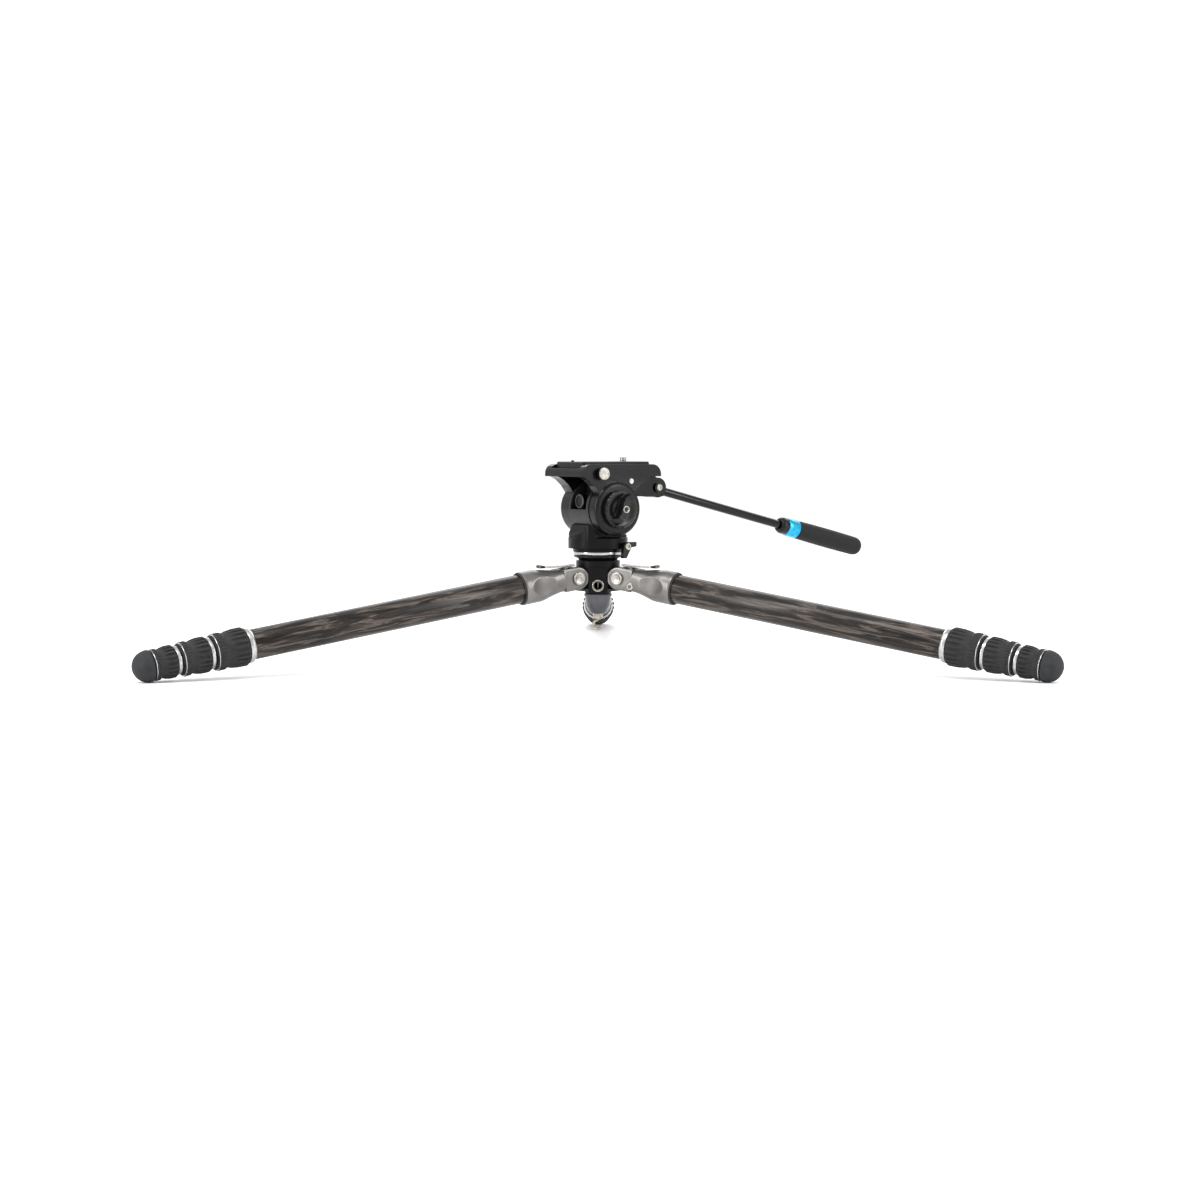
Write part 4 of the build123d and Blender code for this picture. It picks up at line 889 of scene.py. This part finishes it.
# %% Castings with softened edges
dress(softened("pan_body", 0.5 * MM), powder_black, "pan")
dress(softened("pan_base", 0.4 * MM), powder_black, "level_ball")
dress(softened("drum", 0.6 * MM), satin_grey, "pan")
dress(softened("cradle", 1.0 * MM, segments=3), satin_black, "cradle")
dress(softened("quick_release_plate", 0.5 * MM), satin_black, "plate")
dress(softened("pan_lock_lever", 0.9 * MM, segments=3), moulded_black, "pan_lock")
dress(softened("handle_clamp", 0.6 * MM), moulded_black, "handle")
dress(softened("camera_screw", 0.3 * MM), screw_steel, "camera_screw")
dress(softened("clamp_screw", 0.4 * MM), moulded_black, "clamp_screw")
dress(softened("plate_lock_screw", 0.4 * MM), screw_steel, "plate_lock")
wear("spirit_level", vial)
print("castings: 10")

# %% [markdown]
# ## The drag knob and the small parts of the head
#
# The knob's face carries a tall grip bar whose centre line bends like an S. Cutting it from a solid would
# be slow to adjust; here the height of a polar grid depends on the distance from that line, so one
# formula holds the whole shape.

# %% Drag knob
BAR_SWING, BAR_BEND = 3.2 * MM, 5.6 * MM
BAR_HALF, BAR_FOOT, BAR_RISE = 3.2 * MM, 5.4 * MM, 8.6 * MM
DISC_HEIGHT, BUSH_HEIGHT = 4.6 * MM, 13.0 * MM
FLUTES, FLUTE_POINTS = 20, 12


def drag_knob():
    """A disc whose face carries a grip bar on the line y = BAR_SWING sin(x / BAR_BEND).

    The height falls off as a smooth step on both sides of it, and the rim has FLUTES shallow waves."""
    start, _, radius = reach("drag_knob", head_knob)
    share = np.concatenate([[0.003], np.linspace(0.04, 0.9, 60), [0.93, 0.96, 0.985, 1.0, 1.0, 0.97]])
    angle = np.linspace(0, 2 * np.pi, FLUTES * FLUTE_POINTS + 1)[:-1]
    r, a = np.meshgrid(share * radius, angle, indexing="ij")
    x, y = r * np.cos(a + 0.75), r * np.sin(a + 0.75)
    wall = np.abs(y - BAR_SWING * np.sin(x / BAR_BEND))
    bar = (1 - smooth(wall, BAR_HALF, BAR_FOOT)) * (1 - smooth(r, 0.74 * radius, 0.97 * radius))
    z = DISC_HEIGHT + 1.2 * MM * smooth(r, 0.5 * radius, 0.86 * radius) + BAR_RISE * bar
    z -= 1.6 * MM * smooth(r, 0.92 * radius, radius)
    z[-2:] = 0
    flute = 1 - 0.022 * (0.5 + 0.5 * np.cos(FLUTES * a)) * (r > 0.9 * radius)
    origin, forward, up, across = head_knob
    spoke = np.cos(a)[..., None] * up + np.sin(a)[..., None] * across
    points = origin + (start + z)[..., None] * forward + (r * flute)[..., None] * spoke
    rim_run = np.linspace(0, 2 * np.pi * radius, FLUTES * FLUTE_POINTS + 1)
    uv = np.stack(np.meshgrid(share * radius, rim_run, indexing="ij"), axis=-1)
    piece = surface("drag_knob_face", points, uv, caps=True, smooth_angle=45)
    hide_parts("drag_knob")
    dress(piece, moulded_black, "drag_knob")
    centre = origin + (start + BUSH_HEIGHT) * forward
    bush = screw_head("drag_knob_bush", centre, near_side, 3.6 * MM, 1.1 * MM, "hex", 4.4 * MM, 1.0 * MM)
    dress(bush, screw_steel, "drag_knob")


DIAL_DEPTH, KNURLS = 7.7 * MM, 36


def balance_dial():
    """A short dial: a knurled rim r = R (0.99 - 0.01 cos 36a), a grey bevel, and a flat dark face."""
    centre = np.array(joints["balance_dial_turn"]["pos_m"])
    outward = np.array(joints["balance_dial_turn"]["axis"])
    dial_axes = (centre, outward, UP, np.cross(outward, UP))
    start, end, radius = reach("balance_dial", dial_axes)
    back = end - DIAL_DEPTH
    rim = [(back, 2 * MM), (back, radius - 0.4 * MM), (back + 0.4 * MM, radius), (end - 1.6 * MM, radius)]
    face = [
        (end - 1.5 * MM, radius - 1.3 * MM), (end - 0.9 * MM, radius - 1.6 * MM), (end - 0.9 * MM, 0.02 * MM),
        (start, 0.02 * MM), (start, 2 * MM),
    ]

    def knurl(along, turn):
        inside = (along > back + 0.2 * MM) * (along < end - 1.7 * MM)
        return -0.02 * radius * (0.5 + 0.5 * np.cos(KNURLS * turn)) * inside

    piece = turned("balance_dial_body", dial_axes, rim + face, KNURLS * 6, knurl, smooth_angle=35)
    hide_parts("balance_dial")
    dress(piece, dial_metal, "balance_dial")
    bezel = turned("balance_dial_bezel", dial_axes, rounded([
        (end - 1.55 * MM, radius - 1.3 * MM), (end - 1.55 * MM, radius), (end - 0.1 * MM, radius - 0.5 * MM),
        (end - 0.1 * MM, radius - 1.4 * MM),
    ], 0.2 * MM, 3), 96)
    dress(bezel, knob_grey, "balance_dial")


head_knob = (tilt_centre, near_side, UP, np.cross(near_side, UP))
drag_knob()
balance_dial()
lock_centre = np.array(joints["plate_lock_turn"]["pos_m"])
lock_end = reach("plate_lock_screw", (lock_centre, near_side, UP, UP))[1]
lock_centre = lock_centre + near_side * (lock_end - 1.6 * MM)
dress(screw_head("plate_lock_head", lock_centre, near_side, 6.1 * MM, 2.0 * MM, "slot", 1.8 * MM, 1.4 * MM),
      screw_steel, "plate_lock")
clamp_centre = np.array(joints["handle_clamp_turn"]["pos_m"])
clamp_end = reach("clamp_screw", (clamp_centre, near_side, UP, UP))[1]
clamp_centre = clamp_centre + near_side * (clamp_end - 0.2 * MM)
dress(screw_head("clamp_screw_cap", clamp_centre, near_side, 3.2 * MM, 1.0 * MM, "hex", 2.6 * MM, 0.7 * MM),
      screw_steel, "clamp_screw")
lever_centre = np.array(joints["pan_lock_turn"]["pos_m"]) + near_side * 4.9 * MM
dress(screw_head("lever_screw", lever_centre, near_side, 3.3 * MM, 1.2 * MM, "hex", 2.8 * MM, 1.0 * MM),
      screw_steel, "pan_lock")
button_forward, button_up, button_out = 16.5 * MM, 27.5 * MM, 35.0 * MM
button = tilt_centre + button_forward * head_forward + button_up * UP + button_out * near_side
dress(screw_head("release_button", button, near_side, 2.6 * MM, 1.0 * MM, "dimple", 4.0 * MM, 0.3 * MM),
      bright_ring, "cradle")
print("knob, dial and screws made")

# %% [markdown]
# ## Pan handle
#
# The handle is a painted steel rod, a blue anodised ring and a foam grip that swells slightly and ends in
# a rounded cap. All three are turned about the rod's own axis, found from the two ends of the rod's node.

# %% Handle
rod_points = node_points("handle_rod")
rod_line = rod_points @ head_forward
rod_start = rod_points[rod_line < rod_line.min() + 2.5 * MM].mean(axis=0)
rod_end = rod_points[rod_line > rod_line.max() - 2.5 * MM].mean(axis=0)
rod_forward = (rod_end - rod_start) / np.linalg.norm(rod_end - rod_start)
rod_up = np.cross(near_side, rod_forward)
rod_axes = (rod_start, rod_forward, rod_up, near_side)

start, end, radius = reach("handle_rod", rod_axes)
rod_outline = [(start, 0.02 * MM), (start, radius), (end, radius), (end, 0.02 * MM)]
rod = turned("painted_rod", rod_axes, rounded(rod_outline, 0.3 * MM), 48)
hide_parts("handle_rod")
dress(rod, gloss_black, "handle")

start, end, radius = reach("handle_ring", rod_axes)
bore = 4.3 * MM
ring_outline = [
    (start, bore), (start, radius - 0.5 * MM), (start + 3 * MM, radius), (end, radius), (end, bore),
]
ring = turned("blue_ring", rod_axes, rounded(ring_outline, 0.5 * MM), 72)
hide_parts("handle_ring")
dress(ring, blue_ring, "handle")
front = [(start - 9 * MM, bore), (start - 9 * MM, radius - 2.6 * MM), (start - 6 * MM, radius - 0.9 * MM),
         (start - 0.1 * MM, radius - 0.7 * MM), (start - 0.1 * MM, bore)]
dress(turned("rod_collar", rod_axes, rounded(front, 0.6 * MM), 72), moulded_black, "handle")

start, end, radius = reach("handle_grip", rod_axes)
CAP_LENGTH = 9 * MM
length = end - start
station = np.linspace(start + 0.8 * MM, end - CAP_LENGTH, 40)
swell = radius - 0.5 * MM + 0.5 * MM * np.sin(np.pi * (station - start) / length)
cap_radius = radius - 0.3 * MM
cap = [(end - CAP_LENGTH + CAP_LENGTH * math.sin(a), max(cap_radius * math.cos(a) ** 0.5, 0.02 * MM))
       for a in np.linspace(0, np.pi / 2, 12)]
grip_profile = [(start, 4.4 * MM), (start, swell[0] - 0.8 * MM), *zip(station, swell), *cap]
grip = turned("foam_grip", rod_axes, grip_profile, 96, smooth_angle=50)
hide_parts("handle_grip")
dress(grip, foam_rubber, "handle")
print("handle:", round(float(end / MM)), "mm from the rod's start")

# %% [markdown]
# ## Floor, light and camera
#
# A product shot on white: a white floor under a white sky, a soft light above and in front, a strip on
# each side that draws a long highlight on the tubes, and one behind for the edges.

# %% Studio
FLOOR_HALF = 40
AIM = (0, 0, 0.1)


def studio_floor():
    """A large flat floor, white and dull."""
    material, tree = new_finish("floor_white_acrylic")
    place = add_node(tree, "TexCoord").outputs["Object"]
    haze = add_node(tree, "TexNoise", {"Vector": place, "Scale": 2.5, "Detail": 2.0})
    whites = [(0.3, "#f4f4f4"), (0.7, "#fafafa")]
    tone = add_node(tree, "ValToRGB", {"Fac": haze.outputs["Fac"]}, stops=whites)
    shader = add_node(tree, "BsdfPrincipled", {"Base Color": tone.outputs["Color"], "Roughness": 0.6})
    add_node(tree, "OutputMaterial", {"Surface": shader.outputs["BSDF"]})
    mesh = bpy.data.meshes.new("floor")
    corners = [(FLOOR_HALF * x, FLOOR_HALF * y, 0) for x, y in ((-1, -1), (1, -1), (1, 1), (-1, 1))]
    mesh.from_pydata(corners, [], [(0, 1, 2, 3)])
    mesh.materials.append(material)
    floor = bpy.data.objects.new("floor", mesh)
    bpy.context.scene.collection.objects.link(floor)


def soft_light(name, place, size, power):
    """A rectangular area light that points from its place to the tripod's middle."""
    data = bpy.data.lights.new(name, "AREA")
    data.shape = "RECTANGLE"
    data.size, data.size_y = size
    data.energy = power
    light = bpy.data.objects.new(name, data)
    light.location = place
    direction = np.array(AIM) - np.array(place)
    light.rotation_euler = mathutils.Vector(direction).to_track_quat("-Z", "Y").to_euler()
    bpy.context.scene.collection.objects.link(light)


studio_floor()
soft_light("key_overhead", (-0.5, -0.9, 2.2), (1.6, 0.7), 30)
soft_light("strip_left", (-2.0, -1.2, 0.9), (0.4, 1.5), 26)
soft_light("strip_right", (2.0, -1.0, 1.0), (0.4, 1.5), 22)
soft_light("back_edge", (0.3, 1.9, 1.4), (2.2, 0.5), 14)

world = bpy.data.worlds.new("studio")
world.use_nodes = True
world.node_tree.nodes["Background"].inputs["Color"].default_value = (1, 1, 1, 1)
world.node_tree.nodes["Background"].inputs["Strength"].default_value = 1.08
bpy.context.scene.world = world
bpy.context.scene.view_settings.view_transform = "Standard"

# %% [markdown]
# The camera stands in front, a little above the head, and looks slightly down. Its lens is 2600/1200 of
# the sensor's width, so at 2.6 m the view is 1.2 m wide and the whole splayed tripod fits.

# %% Camera
FOCAL_TO_WIDTH = 2600 / 1200
CAMERA_DISTANCE = 2.6
CAMERA_HEIGHT = 0.23
PITCH = math.radians(3.74)
camera_data = bpy.data.cameras.new("camera")
camera_data.sensor_width = 36
camera_data.lens = 36 * FOCAL_TO_WIDTH
camera = bpy.data.objects.new("camera", camera_data)
camera.location = (0.002, -CAMERA_DISTANCE, CAMERA_HEIGHT)
camera.rotation_euler = (math.pi / 2 - PITCH, 0, 0)
camera_data.clip_end = 200
bpy.context.scene.collection.objects.link(camera)
bpy.context.scene.camera = camera
print("lens", round(camera_data.lens), "mm")
